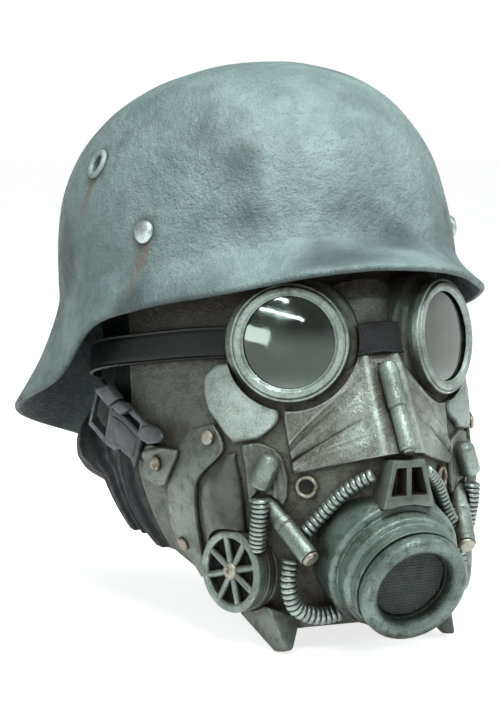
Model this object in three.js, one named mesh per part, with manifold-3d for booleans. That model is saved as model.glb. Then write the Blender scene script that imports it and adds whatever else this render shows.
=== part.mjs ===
// Overhead costume mask: a moulded helmet over a hooded gas mask with round goggles, ribbed hoses
// and a canister in front of the mouth. Lengths are millimetres, +Z is up and -Y is the front.
// Everything is drawn in the frame of an upright head, whose origin is the middle of the head at
// mid-face height, and the whole group is then tipped back as the mask is worn.
import * as THREE from 'three'
import { mergeVertices } from 'three/addons/utils/BufferGeometryUtils.js'
import Module from 'manifold-3d'

const wasm = await Module()
wasm.setup()

// Whole object
const headTilt = 15 // degrees that the face looks up
const gap = 0.35 // clearance between pieces that rest on each other
const sides = [{ name: 'right', x: -1 }, { name: 'left', x: 1 }]

// Helmet
const helmet = {
  wall: 4, width: 224, front: 138, back: 115, outline: 2.1,
  crown: 169, base: 50, crownCurve: 2.45, flare: 42, room: 1.5,
}
const eyelet = { outer: 9, neck: 6.4, hole: 5, lip: 2.2, azimuth: 74, height: helmet.crown * 0.65 }
const helmetRivet = { radius: 6.6, dome: 3.4, azimuth: 52, height: helmet.crown * 0.355 }
const pocket = 1.2 // depth that eyelets and rivets are let into the helmet

// Face: half width at the ears, reach of the nose and of the back, and depth to the neck
const face = { half: helmet.width * 0.433, nose: helmet.front * 1.13, back: helmet.back * 0.904, low: 170 }
const band = { low: helmet.base * 0.56, top: helmet.base * 0.96 } // where the form widens to meet the helmet
const shell = { wall: 3, edge: 2.72, top: helmet.base * 0.92, rows: 10, cols: 18 }
const hood = {
  wall: 2, tuck: 0.18, drop: 2.2, slack: 0.5, folds: 4, foldHeight: 2, bulge: 15, bulgeTop: 8, bulgeLow: 64,
}
const rest = 0.9 // lift of a curved piece that lies on the face, over the facets below it
const guard = { height: 4, crown: 1.5 }
const plate = { height: 2.6, crown: 0.8 }
const pillow = { height: 2.4, crown: 4 }
const duct = { height: 2.8, crown: 0.8 }
const anchor = { low: 3.55, top: 5.4 }

// Goggles, whose centres are shares of the face's half width, nose and depth
const goggle = {
  centre: { x: 0.494, y: -0.897, z: -0.0865 }, outward: 33, down: 7, sides: 18,
  bore: 24, flange: 36, back: 45, cup: 31, shoulder: 13, throat: 10, seat: 6,
  pane: 27.8, paneBack: 5.5, paneEdge: 3.6, paneTop: 1.9,
  lens: 24.5, bezel: 31.5, rebate: 28.2, ringBack: 5.6, ringLip: 3.2, ringSide: 1.2, round: 2,
}
const strap = { width: 18, thickness: 2, slack: 0.4, rise: 14 }
const bridge = { front: face.nose * 0.977, bow: 5, half: face.half * 0.268, height: 17, z: -16.3 }

// Muzzle
const muzzle = {
  centre: { x: 0, y: -0.888, z: -0.797 }, slope: 36, sides: 18,
  flange: 37.6, barrel: 33.5, neck: 31, bore: 20.7, step: 9, shoulder: 10.5, back: 50, wall: 3, round: 1.5,
  ring: 30.3, ringStart: 18, ringEnd: 26.5, ringRound: 2.5, gauze: 14, bulge: 1.2,
}
const nosePipe = {
  top: { x: 0, y: -0.995, z: -0.1706 }, end: { x: 0, y: -1.083, z: -0.4706 },
  radius: 5.2, lower: 4.6, seam: 27, round: 3.5,
}
const ventFrame = {
  top: { x: 0, y: -1.077, z: -0.491 }, lean: 14, half: face.half * 0.093, base: face.half * 0.155, height: 25,
  depth: 16, post: 1.5, bar: 4, rail: 2.8, slot: 14.5,
}

// Canisters, pipes and hoses on the cheeks
const filter = {
  centre: { x: 0.745, y: -0.557, z: -0.754 }, axis: { x: 0.945, y: -0.315, z: -0.084 },
  radius: 22.4, wheel: 5.6, opening: 17.5, hub: 4.8, boss: 1.8, spoke: 4, spokes: 8, wall: 2.4, back: 34,
}
const pipe = {
  start: { x: 0.597, y: -0.713, z: -0.5553 }, end: { x: 0.477, y: -0.866, z: -0.757 }, radius: 5.3, neck: 4.6,
  step: 18, capStart: 2, cap: 4.6, dome: 1,
}
const elbow = {
  from: { u: 1.27, z: -0.418, lift: 7 }, to: { u: 1.47, z: -0.506, lift: 7.4 }, radius: 6, round: 3.5,
}
const hoses = {
  side: { radius: 4.7, rib: 1.1, ribs: 5, lift: 9.2 },
  upper: { radius: 3.9, rib: 0.9, ribs: 7 },
  lower: { radius: 4.5, rib: 1.1, ribs: 8 },
}
const grommet = {
  centre: { x: 0.414, y: -0.812, z: -0.5276 }, facing: 0.98, radius: 6.4, hole: 3.95, height: 2.2, slope: 0.8,
}
const stud = { radius: 4, height: 2.4, side: 0.8 }

// Webbing and its buckle, a flat piece whose outlines are shares of its size
const web = { width: 22, thickness: 1.6 }
const buckle = {
  u: 2.74, z: -0.247, lift: 5, turn: 35.5, size: 40, under: 2.1, deck: 0.6, bar: 0.2, block: 3.2,
}

// Cover over the nose and chin plate
const cover = { edge: 1.08, lift: 3.3, wall: 2, foot: 0.6, lip: 2.4, lipAt: 0.2, ridge: 9, fold: 1.4 }
const chinTop = 3.6

const rad = THREE.MathUtils.degToRad
const vec = (x, y, z) => new THREE.Vector3(x, y, z)
const clamp01 = (t) => Math.min(1, Math.max(0, t))
const smooth = (t) => clamp01(t) ** 2 * (3 - 2 * clamp01(t))
const range = (n) => [...Array(n).keys()]
// Rows whose named columns are shares of the given sizes
const sized = (rows, sizes) => rows.map((row) => Object.fromEntries(
  Object.entries(row).map(([key, share]) => [key, share * (sizes[key] ?? 1)])))
const spread = (from, to, n) => range(n + 1).map((i) => from + (to - from) * i / n)

// Brim: azimuth from the front, height of the crease, reach beyond the dome, height of the rim
const brim = sized([
  { azimuth: 0, crease: 0.84, reach: 0.952, rim: 0.36 },
  { azimuth: 30, crease: 0.84, reach: 0.524, rim: 0.32 },
  { azimuth: 55, crease: 0.88, reach: 0.262, rim: 0.36 },
  { azimuth: 75, crease: 0.92, reach: 0.19, rim: 0.34 },
  { azimuth: 100, crease: 0.96, reach: 0.286, rim: -0.1 },
  { azimuth: 128, crease: 1, reach: 1, rim: -0.24 },
  { azimuth: 150, crease: 1, reach: 0.929, rim: -0.44 },
  { azimuth: 180, crease: 1, reach: 0.857, rim: -0.8 },
], { crease: helmet.base, reach: helmet.flare, rim: helmet.base })

// Head form: height, then the plan points nose, cheek, jaw, side, rear quarter and back
const sections = sized([
  {
    z: -1, nose: -0.628, cheekX: 0.371, cheekY: -0.564, jawX: 0.557, jawY: -0.372,
    sideX: 0.495, quarterX: 0.351, quarterY: 0.25, back: 0.365,
  },
  {
    z: -0.765, nose: -0.833, cheekX: 0.412, cheekY: -0.705, jawX: 0.66, jawY: -0.455,
    sideX: 0.649, quarterX: 0.474, quarterY: 0.385, back: 0.519,
  },
  {
    z: -0.529, nose: -1, cheekX: 0.423, cheekY: -0.801, jawX: 0.784, jawY: -0.564,
    sideX: 0.897, quarterX: 0.68, quarterY: 0.596, back: 0.808,
  },
  {
    z: -0.294, nose: -0.981, cheekX: 0.454, cheekY: -0.808, jawX: 0.804, jawY: -0.59,
    sideX: 1, quarterX: 0.784, quarterY: 0.75, back: 1,
  },
  {
    z: -0.088, nose: -0.917, cheekX: 0.412, cheekY: -0.814, jawX: 0.794, jawY: -0.577,
    sideX: 0.979, quarterX: 0.763, quarterY: 0.731, back: 1,
  },
  {
    z: 0.118, nose: -0.859, cheekX: 0.433, cheekY: -0.782, jawX: 0.784, jawY: -0.551,
    sideX: 0.938, quarterX: 0.722, quarterY: 0.692, back: 0.952,
  },
  {
    z: 0.265, nose: -0.833, cheekX: 0.433, cheekY: -0.756, jawX: 0.773, jawY: -0.538,
    sideX: 0.938, quarterX: 0.701, quarterY: 0.673, back: 0.923,
  },
], {
  z: face.low, nose: face.nose, cheekX: face.half, cheekY: face.nose, jawX: face.half, jawY: face.nose,
  sideX: face.half, quarterX: face.half, quarterY: face.back, back: face.back,
})

// Smooth value between the rows of a table, level at both ends
function along(rows, key, at, name) {
  let i = 0
  while (i < rows.length - 2 && at > rows[i + 1][key]) i += 1
  const slope = (k) => {
    if (k <= 0 || k >= rows.length - 1) return 0
    return (rows[k + 1][name] - rows[k - 1][name]) / (rows[k + 1][key] - rows[k - 1][key])
  }
  const a = rows[i]
  const b = rows[i + 1]
  const h = b[key] - a[key]
  const t = clamp01((at - a[key]) / h)
  return (2 * t ** 3 - 3 * t ** 2 + 1) * a[name] + (t ** 3 - 2 * t ** 2 + t) * h * slope(i)
    + (3 * t ** 2 - 2 * t ** 3) * b[name] + (t ** 3 - t ** 2) * h * slope(i + 1)
}

// Straight value between the rows of a table
function between(rows, key, at, name) {
  let i = 0
  const rising = rows[1][key] > rows[0][key]
  while (i < rows.length - 2 && (rising ? at > rows[i + 1][key] : at < rows[i + 1][key])) i += 1
  const t = clamp01((at - rows[i][key]) / (rows[i + 1][key] - rows[i][key]))
  return rows[i][name] + (rows[i + 1][name] - rows[i][name]) * t
}

// Indexed geometry from points and triangles, turned so that its faces point out
function geometryOf(points, faces) {
  let volume = 0
  for (let i = 0; i < faces.length; i += 3) {
    const [a, b, c] = [points[faces[i]], points[faces[i + 1]], points[faces[i + 2]]]
    volume += a.dot(vec(0, 0, 0).crossVectors(b, c))
  }
  const g = new THREE.BufferGeometry()
  g.setAttribute('position', new THREE.Float32BufferAttribute(points.flatMap((v) => v.toArray()), 3))
  g.setIndex(volume < 0 ? [...faces].reverse() : faces)
  return mergeVertices(g, 1e-4)
}

// Closed solid between two grids of points with the same rows; closed joins the last column to the first
function slab(outer, inner, closed = false) {
  const rows = outer.length
  const cols = outer[0].length
  const faces = []
  const id = (k, r, c) => (k * rows + r) * cols + (c % cols)
  const quad = (a, b, c, d) => faces.push(a, b, c, a, c, d)
  const last = closed ? cols : cols - 1
  for (let r = 0; r < rows - 1; r++) {
    for (let c = 0; c < last; c++) {
      quad(id(0, r, c), id(0, r + 1, c), id(0, r + 1, c + 1), id(0, r, c + 1))
      quad(id(1, r, c), id(1, r, c + 1), id(1, r + 1, c + 1), id(1, r + 1, c))
    }
  }
  for (let c = 0; c < last; c++) {
    quad(id(0, 0, c), id(0, 0, c + 1), id(1, 0, c + 1), id(1, 0, c))
    quad(id(0, rows - 1, c), id(1, rows - 1, c), id(1, rows - 1, c + 1), id(0, rows - 1, c + 1))
  }
  for (let r = 0; r < rows - 1 && !closed; r++) {
    quad(id(0, r, 0), id(1, r, 0), id(1, r + 1, 0), id(0, r + 1, 0))
    quad(id(0, r, cols - 1), id(0, r + 1, cols - 1), id(1, r + 1, cols - 1), id(1, r, cols - 1))
  }
  return geometryOf([...outer.flat(), ...inner.flat()], faces)
}

// Solids for cutting and joining
function solidOf(geometry) {
  const g = geometry.clone()
  for (const name of Object.keys(g.attributes)) if (name !== 'position') g.deleteAttribute(name)
  const merged = mergeVertices(g, 1e-4)
  return new wasm.Manifold(new wasm.Mesh({
    numProp: 3,
    vertProperties: new Float32Array(merged.attributes.position.array),
    triVerts: new Uint32Array(merged.index.array),
  }))
}

function fromSolid(solid) {
  const mesh = solid.getMesh()
  const g = new THREE.BufferGeometry()
  g.setAttribute('position', new THREE.BufferAttribute(new Float32Array(mesh.vertProperties), 3))
  g.setIndex(new THREE.BufferAttribute(new Uint32Array(mesh.triVerts), 1))
  return g
}

const cut = (geometry, ...tools) =>
  fromSolid(tools.reduce((solid, tool) => solid.subtract(solidOf(tool)), solidOf(geometry)))
const join = (geometry, ...more) =>
  fromSolid(more.reduce((solid, other) => solid.add(solidOf(other)), solidOf(geometry)))
// The largest of the pieces that a cut leaves
function biggest(geometry) {
  const parts = solidOf(geometry).decompose()
  parts.sort((a, b) => b.volume() - a.volume())
  return fromSolid(parts[0])
}

// Turned solid: profile rows of radius and distance along an axis from an origin
function turned(profile, segments, origin, axis) {
  const g = new THREE.LatheGeometry(profile.map(([r, s]) => new THREE.Vector2(r, s)), segments)
  const q = new THREE.Quaternion().setFromUnitVectors(vec(0, 1, 0), axis.clone().normalize())
  const m = new THREE.Matrix4().compose(origin, q, vec(1, 1, 1))
  g.applyMatrix4(m)
  for (const name of ['normal', 'uv']) g.deleteAttribute(name)
  const merged = mergeVertices(g, 1e-4)
  const points = range(merged.attributes.position.count)
    .map((i) => vec(0, 0, 0).fromBufferAttribute(merged.attributes.position, i))
  const kept = []
  const index = merged.index.array
  for (let i = 0; i < index.length; i += 3) {
    const [a, b, c] = [index[i], index[i + 1], index[i + 2]]
    if (a !== b && b !== c && a !== c) kept.push(a, b, c)
  }
  return geometryOf(points, kept)
}

const cylinder = (radius, from, to, origin, axis, segments = 24) =>
  turned([[0, from], [radius, from], [radius, to], [0, to]], segments, origin, axis)

// Distance from the head's axis to the dome's outline, in the direction of an azimuth in radians
function domeReach(azimuth) {
  const s = Math.abs(Math.sin(azimuth)) / (helmet.width / 2)
  const c = Math.abs(Math.cos(azimuth)) / (Math.cos(azimuth) > 0 ? helmet.front : helmet.back)
  return (s ** helmet.outline + c ** helmet.outline) ** (-1 / helmet.outline)
}

// Point of the helmet's outside: t runs from the crown (0) over the crease (1) to the rim (2)
function helmetPoint(azimuth, t) {
  const station = (name) => along(brim, 'azimuth', Math.abs(azimuth), name)
  const a = rad(azimuth)
  const reach = domeReach(a)
  const crease = station('crease')
  const e = 2 / helmet.crownCurve
  let r = reach * Math.sin(Math.min(t, 1) * Math.PI / 2) ** e
  let z = helmet.base + (helmet.crown - helmet.base) * Math.cos(Math.min(t, 1) * Math.PI / 2) ** e
  if (t >= 1) {
    const s = t - 1
    const knee = { r: reach + 0.22 * station('reach'), z: crease - 0.42 * (crease - station('rim')) }
    r = (1 - s) ** 2 * reach + 2 * s * (1 - s) * knee.r + s * s * (reach + station('reach'))
    z = (1 - s) ** 2 * crease + 2 * s * (1 - s) * knee.z + s * s * station('rim')
  }
  return vec(-Math.sin(a) * r, -Math.cos(a) * r, z)
}

const helmetSteps = [0.15, 0.36, 0.55, 0.72, 0.87, 1, 1.33, 1.66, 2]
const helmetColumns = 32

function helmetGeometry() {
  const outer = helmetSteps.map((t) => range(helmetColumns)
    .map((c) => helmetPoint(-180 + 360 * c / helmetColumns, t)))
  const last = helmetSteps.length - 1
  const normalAt = (r, c) => {
    const up = outer[Math.max(r - 1, 0)][c]
    const down = outer[Math.min(r + 1, last)][c]
    const left = outer[r][(c + helmetColumns - 1) % helmetColumns]
    const right = outer[r][(c + 1) % helmetColumns]
    return vec(0, 0, 0).crossVectors(right.clone().sub(left), down.clone().sub(up)).normalize()
  }
  const inner = outer.map((row, r) => row.map((p, c) => p.clone().addScaledVector(normalAt(r, c), -helmet.wall)))
  const crown = [vec(0, 0, helmet.crown), vec(0, 0, helmet.crown - helmet.wall)]
  const points = [...outer.flat(), ...inner.flat(), ...crown]
  const faces = []
  const id = (k, r, c) => (k * helmetSteps.length + r) * helmetColumns + (c % helmetColumns)
  const quad = (a, b, c, d) => faces.push(a, b, c, a, c, d)
  for (let c = 0; c < helmetColumns; c++) {
    for (let r = 0; r < last; r++) {
      quad(id(0, r, c), id(0, r + 1, c), id(0, r + 1, c + 1), id(0, r, c + 1))
      quad(id(1, r, c), id(1, r, c + 1), id(1, r + 1, c + 1), id(1, r + 1, c))
    }
    quad(id(0, last, c), id(1, last, c), id(1, last, c + 1), id(0, last, c + 1))
    faces.push(points.length - 2, id(0, 0, c), id(0, 0, c + 1), points.length - 1, id(1, 0, c + 1), id(1, 0, c))
  }
  return geometryOf(points, faces)
}

// Point of the head form: u is 0 at the nose, 1 cheek, 2 jaw, 3 side, 4 rear quarter and 5 at the back
function formPoint(u, z, lift = 0) {
  const w = (name) => along(sections, 'z', z, name)
  const plan = [
    [0, w('nose')], [w('cheekX'), w('cheekY')], [w('jawX'), w('jawY')], [w('sideX'), 0],
    [w('quarterX'), w('quarterY')], [0, w('back')],
  ]
  const at = (k) => {
    if (k < 0) return [-plan[-k][0], plan[-k][1]]
    if (k > 5) return [-plan[10 - k][0], plan[10 - k][1]]
    return plan[k]
  }
  const v = Math.min(Math.abs(u), 5)
  const k = Math.min(Math.floor(v), 4)
  const t = v - k
  const mix = (i) => {
    const [p0, p1, p2, p3] = [at(k - 1)[i], at(k)[i], at(k + 1)[i], at(k + 2)[i]]
    return 0.5 * (2 * p1 + (p2 - p0) * t + (2 * p0 - 5 * p1 + 4 * p2 - p3) * t * t
      + (3 * p1 - p0 - 3 * p2 + p3) * t ** 3)
  }
  const p = vec(Math.sign(u) * mix(0), mix(1), z)
  if (z > band.low) {
    const reach = domeReach(Math.atan2(Math.abs(p.x), -p.y)) - helmet.wall - helmet.room
    const r = Math.hypot(p.x, p.y)
    const grow = 1 + (reach / r - 1) * smooth((z - band.low) / (band.top - band.low))
    p.x *= grow
    p.y *= grow
  }
  return lift === 0 ? p : p.addScaledVector(formNormal(u, z), lift)
}

function formNormal(u, z) {
  const du = 0.02
  const dz = 0.5
  const across = formPoint(u + du, z).sub(formPoint(u - du, z))
  const up = formPoint(u, z + dz).sub(formPoint(u, z - dz))
  return vec(0, 0, 0).crossVectors(across, up).normalize()
}

// Form coordinates of a place a millimetres across and b millimetres up from (u, z) along the surface
function formShift(u, z, a, b) {
  const du = 0.02
  const dz = 0.5
  const pu = formPoint(u + du, z).sub(formPoint(u - du, z)).divideScalar(2 * du)
  const pz = formPoint(u, z + dz).sub(formPoint(u, z - dz)).divideScalar(2 * dz)
  const e1 = pu.clone().normalize()
  const e2 = vec(0, 0, 0).crossVectors(formNormal(u, z), e1)
  const stepZ = b / pz.dot(e2)
  return [u + (a - pz.dot(e1) * stepZ) / pu.length(), z + stepZ]
}

// Curved plate on the form from rows of height, from and to
function formPlate(rows, { x = 1, cols = 4, step = 12, low = gap, high = 2, crown = 0 } = {}) {
  const heights = [rows[0].z]
  for (let i = 1; i < rows.length; i++) {
    const n = Math.max(1, Math.round(Math.abs(rows[i].z - rows[i - 1].z) / step))
    heights.push(...spread(rows[i - 1].z, rows[i].z, n).slice(1))
  }
  const grid = (lift, bulge) => heights.map((z, r) => spread(0, 1, cols).map((t) => {
    const from = between(rows, 'z', z, 'from')
    const to = between(rows, 'z', z, 'to')
    const edge = Math.min(1, 4 * t * (1 - t)) * Math.min(1, Math.sin(Math.PI * r / (heights.length - 1)) * 1.4)
    return formPoint(x * (from + (to - from) * t), z, lift + bulge * edge)
  }))
  return slab(grid(high, crown), grid(low, 0))
}

// Strap wrapped on the form along a path of places
function formStrap(path, { width, x = 1, low = gap, high = 2, cols = 2, steps = 14 }) {
  const curve = new THREE.CatmullRomCurve3(path.map(({ u, z }) => vec(u * 40, z, 0)))
  const places = range(steps + 1).map((i) => curve.getPoint(i / steps))
  const grid = (lift) => places.map((p, i) => {
    const a = places[Math.max(i - 1, 0)]
    const b = places[Math.min(i + 1, steps)]
    const run = formPoint(b.x / 40, b.y).sub(formPoint(a.x / 40, a.y)).normalize()
    const u = p.x / 40
    const du = 0.02
    const e1 = formPoint(u + du, p.y).sub(formPoint(u - du, p.y)).normalize()
    const e2 = vec(0, 0, 0).crossVectors(formNormal(u, p.y), e1)
    const [c, s] = [run.dot(e1), run.dot(e2)]
    return spread(-width / 2, width / 2, cols).map((w) => {
      const [pu, pz] = formShift(u, p.y, -w * s, w * c)
      return formPoint(x * pu, pz, lift)
    })
  })
  return slab(grid(high), grid(low))
}

// Ribbed hose along points: two rings for each rib
function hose(points, { radius, rib, ribs, segments = 6 }) {
  const curve = new THREE.CatmullRomCurve3(points)
  const rings = 2 * ribs + 1
  const frames = curve.computeFrenetFrames(rings - 1, false)
  const body = []
  for (let i = 0; i < rings; i++) {
    const centre = curve.getPointAt(i / (rings - 1))
    const r = i % 2 === 1 ? radius : radius - rib
    for (let k = 0; k < segments; k++) {
      const a = 2 * Math.PI * k / segments
      body.push(centre.clone().addScaledVector(frames.normals[i], Math.cos(a) * r)
        .addScaledVector(frames.binormals[i], Math.sin(a) * r))
    }
  }
  const faces = []
  const id = (i, k) => i * segments + (k % segments)
  for (let i = 0; i < rings - 1; i++) {
    for (let k = 0; k < segments; k++) {
      faces.push(id(i, k), id(i, k + 1), id(i + 1, k + 1), id(i, k), id(i + 1, k + 1), id(i + 1, k))
    }
  }
  for (let k = 1; k < segments - 1; k++) {
    faces.push(id(0, 0), id(0, k + 1), id(0, k), id(rings - 1, 0), id(rings - 1, k), id(rings - 1, k + 1))
  }
  return geometryOf(body, faces)
}

// Sharp prism: an outline in a plane, pushed through a depth
function prism(outline, depth, place, holes = []) {
  const shape = new THREE.Shape(outline.map(([a, b]) => new THREE.Vector2(a, b)))
  holes.forEach((h) => shape.holes.push(new THREE.Path(h.map(([a, b]) => new THREE.Vector2(a, b)))))
  const g = new THREE.ExtrudeGeometry(shape, { depth, bevelEnabled: false })
  g.applyMatrix4(place)
  for (const name of ['normal', 'uv']) g.deleteAttribute(name)
  const merged = mergeVertices(g, 1e-4)
  if (place.determinant() < 0) merged.setIndex([...merged.index.array].reverse())
  return merged
}

// Frame whose first two axes are given in head coordinates
const frameOf = (origin, a, b) =>
  new THREE.Matrix4().makeBasis(a, b, vec(0, 0, 0).crossVectors(a, b)).setPosition(origin)

const part = new THREE.Group()
const head = new THREE.Group()
part.rotation.x = rad(-headTilt)
head.position.set(0, 0, -(helmet.crown - helmet.wall))
part.add(head)

function addPiece(name, geometry, colour, roughness, metalness) {
  const material = new THREE.MeshStandardMaterial({ color: colour, roughness, metalness })
  const mesh = new THREE.Mesh(geometry, material)
  mesh.name = name
  head.add(mesh)
}
const paint = {
  helmet: [0x6f7f7d, 0.8, 0.0], rubber: [0x23292a, 0.7, 0.0], pewter: [0x8d9390, 0.5, 0.6],
  dark: [0x55554e, 0.6, 0.3], copper: [0xa28467, 0.5, 0.7], plastic: [0x4c585d, 0.5, 0.0],
  glass: [0x1d2224, 0.1, 0.2], strap: [0x161a1a, 0.8, 0.0],
}

const mirrored = (v, x) => vec(v.x * x, v.y, v.z)
const placed = (v, x = 1) => vec(v.x * face.half * x, v.y * face.nose, v.z * face.low)
const onFace = ({ u, z, lift }, x) => formPoint(u * x, z * face.low, lift)
const goggleAxis = (x) => vec(
  x * Math.sin(rad(goggle.outward)) * Math.cos(rad(goggle.down)),
  -Math.cos(rad(goggle.outward)) * Math.cos(rad(goggle.down)),
  -Math.sin(rad(goggle.down)),
)
const muzzleAxis = vec(0, -Math.cos(rad(muzzle.slope)), -Math.sin(rad(muzzle.slope)))
const muzzleCentre = placed(muzzle.centre)

// Tools that cut room for the pieces that stand through or on others
const flangeCut = (x) => cylinder(
  goggle.flange + gap, -goggle.back - 20, 20, placed(goggle.centre, x), goggleAxis(x), goggle.sides)
const filterCut = (x) => cylinder(
  filter.radius + 2 * gap, -filter.back, 10, placed(filter.centre, x), mirrored(filter.axis, x), 18)
const pipeAxis = (x) => placed(pipe.end, x).sub(placed(pipe.start, x))
const pipeRoom = (x) => cylinder(pipe.radius + 2 * gap, -5, 60, placed(pipe.start, x), pipeAxis(x), 12)
const muzzleCut = cylinder(muzzle.flange + gap, -muzzle.back, 30, muzzleCentre, muzzleAxis, muzzle.sides)

// Helmet with its eyelets and rivets
function helmetPlace(azimuth, height) {
  let [low, high] = [0, 1]
  for (let i = 0; i < 30; i++) {
    const t = (low + high) / 2
    if (helmetPoint(azimuth, t).z > height) low = t
    else high = t
  }
  const p = helmetPoint(azimuth, low)
  const across = helmetPoint(azimuth + 1, low).sub(helmetPoint(azimuth - 1, low))
  const down = helmetPoint(azimuth, low + 0.02).sub(helmetPoint(azimuth, low - 0.02))
  const out = vec(0, 0, 0).crossVectors(across, down).normalize()
  return { p, out: out.dot(vec(p.x, p.y, 0)) > 0 ? out : out.negate() }
}

const helmetCuts = []
for (const { name, x } of sides) {
  const e = helmetPlace(-x * eyelet.azimuth, eyelet.height)
  const r = helmetPlace(-x * helmetRivet.azimuth, helmetRivet.height)
  helmetCuts.push(cylinder(eyelet.outer + gap, -pocket, 6, e.p, e.out, 12))
  helmetCuts.push(cylinder(eyelet.neck + gap, -12, 2, e.p, e.out, 12))
  helmetCuts.push(cylinder(helmetRivet.radius + gap, -pocket, 6, r.p, r.out, 10))
  const seatAt = -pocket + gap
  addPiece(`vent_eyelet_${name}`, turned([
    [eyelet.hole, -helmet.wall - 1], [eyelet.neck, -helmet.wall - 1], [eyelet.neck, seatAt],
    [eyelet.outer, seatAt], [eyelet.outer - 1.5, eyelet.lip], [eyelet.hole, eyelet.lip * 0.5],
    [eyelet.hole, -helmet.wall - 1],
  ], 12, e.p, e.out), ...paint.helmet)
  addPiece(`helmet_rivet_${name}`, turned([
    [0, seatAt], [helmetRivet.radius, seatAt], [helmetRivet.radius, 0.6],
    [helmetRivet.radius * 0.6, helmetRivet.dome * 0.85], [0, helmetRivet.dome],
  ], 10, r.p, r.out), ...paint.copper)
}
addPiece('helmet_shell', cut(helmetGeometry(), ...helmetCuts), ...paint.helmet)

// Face shell and the surface that other pieces are seated on
const faceHem = sized([
  { u: 0, z: -0.941 }, { u: 1, z: -0.953 }, { u: 1.6, z: -0.929 }, { u: 2.4, z: -0.759 }, { u: 2.72, z: -0.635 },
], { z: face.low })
const faceGrid = (lift, drop = 0) => range(shell.rows + 1).map((r) =>
  spread(-shell.edge, shell.edge, shell.cols).map((u) => {
    const z = shell.top + (between(faceHem, 'u', Math.abs(u), 'z') - drop - shell.top) * r / shell.rows
    return formPoint(u, z, lift)
  }))
const seat = slab(faceGrid(gap), faceGrid(-30))
const hemSeat = slab(faceGrid(2 * gap, 1.5), faceGrid(-30, 1.5))
const eyeCuts = sides.map(({ x }) =>
  cylinder(goggle.bore, -60, 10, placed(goggle.centre, x), goggleAxis(x), goggle.sides))
addPiece('face_shell', cut(slab(faceGrid(0), faceGrid(-shell.wall)), ...eyeCuts,
  cylinder(muzzle.bore, -60, 10, muzzleCentre, muzzleAxis, 20)), ...paint.pewter)

// Hood
const hoodHem = sized([
  { u: 2.5, z: -0.694 }, { u: 3, z: -0.635 }, { u: 3.6, z: -0.541 }, { u: 4.3, z: -0.471 }, { u: 5, z: -0.435 },
], { z: face.low })
function hoodGeometry() {
  const half = [shell.edge - hood.tuck, ...spread(shell.edge, 5, 8)]
  const us = [...half, ...half.slice(0, -1).reverse().map((u) => -u)]
  const rows = shell.rows
  const grid = (lift) => range(rows + 1).map((r) => us.map((u) => {
    const v = Math.abs(u)
    const z = shell.top + (between(hoodHem, 'u', v, 'z') - shell.top) * r / rows
    const free = smooth((v - shell.edge - 0.1) / 0.4) * smooth((10 - z) / 60)
    const fold = hood.foldHeight * free * Math.cos(Math.PI * 2 * hood.folds * (v - 3) / 2)
    const bulge = hood.bulge * smooth((v - 3.05) / 0.8)
      * smooth((z + hood.bulgeLow) / 22) * smooth((-hood.bulgeTop - z) / 28)
    const tucked = hood.drop * Math.max(0, (shell.edge - v) / hood.tuck)
    return formPoint(u, z, lift + fold + bulge - tucked - shell.wall - gap - hood.slack)
  }))
  return slab(grid(0), grid(-hood.wall))
}
addPiece('hood', hoodGeometry(), ...paint.rubber)

// Goggles
for (const { name, x } of sides) {
  const c = placed(goggle.centre, x)
  const axis = goggleAxis(x)
  const g = goggle
  const cup = turned([
    [g.bore, -g.back], [g.flange, -g.back], [g.flange, -g.shoulder], [g.cup, -g.throat],
    [g.cup, -g.seat], [g.bore, -g.seat], [g.bore, -g.back],
  ], g.sides, c, axis)
  addPiece(`eyecup_${name}`, biggest(cut(cup, seat)), ...paint.dark)
  addPiece(`lens_${name}`, turned([
    [0, -g.paneBack], [g.pane, -g.paneBack], [g.pane, -g.paneEdge], [0, -g.paneTop],
  ], g.sides, c, axis), ...paint.glass)
  addPiece(`bezel_${name}`, turned([
    [g.rebate, -g.ringBack], [g.bezel, -g.ringBack], [g.bezel, -g.ringSide], [g.bezel - g.round, 0],
    [g.lens + g.round, 0], [g.lens, -g.paneTop], [g.rebate, -g.ringLip], [g.rebate, -g.ringBack],
  ], g.sides, c, axis), ...paint.pewter)
}

// Goggle strap round the head and the short strap over the nose
const strapPath = sized([
  { u: 1.5, z: -0.643 }, { u: 1.75, z: -0.536 }, { u: 2.29, z: -0.143 }, { u: 3, z: 0.464 },
  { u: 3.6, z: 0.786 }, { u: 4.3, z: 0.929 }, { u: 5, z: 1 },
], { z: strap.rise })
function strapRound() {
  const path = new THREE.CatmullRomCurve3(strapPath.map(({ u, z }) => vec(u, z / 40, 0)))
  const half = range(13).map((i) => path.getPoint(i / 12)).map((p) => [p.x, p.y * 40])
  const places = [...half, ...half.slice(0, -1).reverse().map(([u, z]) => [-u, z])]
  const grid = (lift) => places.map(([u, z]) => [-1, 1].map((k) => formPoint(u, z + k * strap.width / 2, lift)))
  return slab(grid(rest + strap.slack + strap.thickness), grid(rest + strap.slack))
}
addPiece('goggle_strap', cut(strapRound(), flangeCut(1), flangeCut(-1)), ...paint.strap)

function bridgeStrap(room) {
  const b = bridge
  const edge = (back) => spread(-1, 1, 6).map((t) => [(b.half + room) * t, back + b.bow * t * t - b.front])
  return prism([...edge(-room), ...edge(strap.thickness + room).reverse()], b.height + 2 * room,
    new THREE.Matrix4().makeTranslation(0, 0, b.z - b.height / 2 - room))
}
addPiece('bridge_strap', biggest(cut(bridgeStrap(0), flangeCut(1), flangeCut(-1))), ...paint.strap)

// Cheek guards under the goggles
const guardRows = sized([
  { z: -0.112, from: 1.62, to: 1.84 }, { z: -0.147, from: 1.5, to: 1.95 },
  { z: -0.241, from: 1.2, to: 1.95 }, { z: -0.294, from: 1.13, to: 1.86 },
  { z: -0.329, from: 1.2, to: 1.8 }, { z: -0.365, from: 1.38, to: 1.72 },
], { z: face.low })
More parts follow.
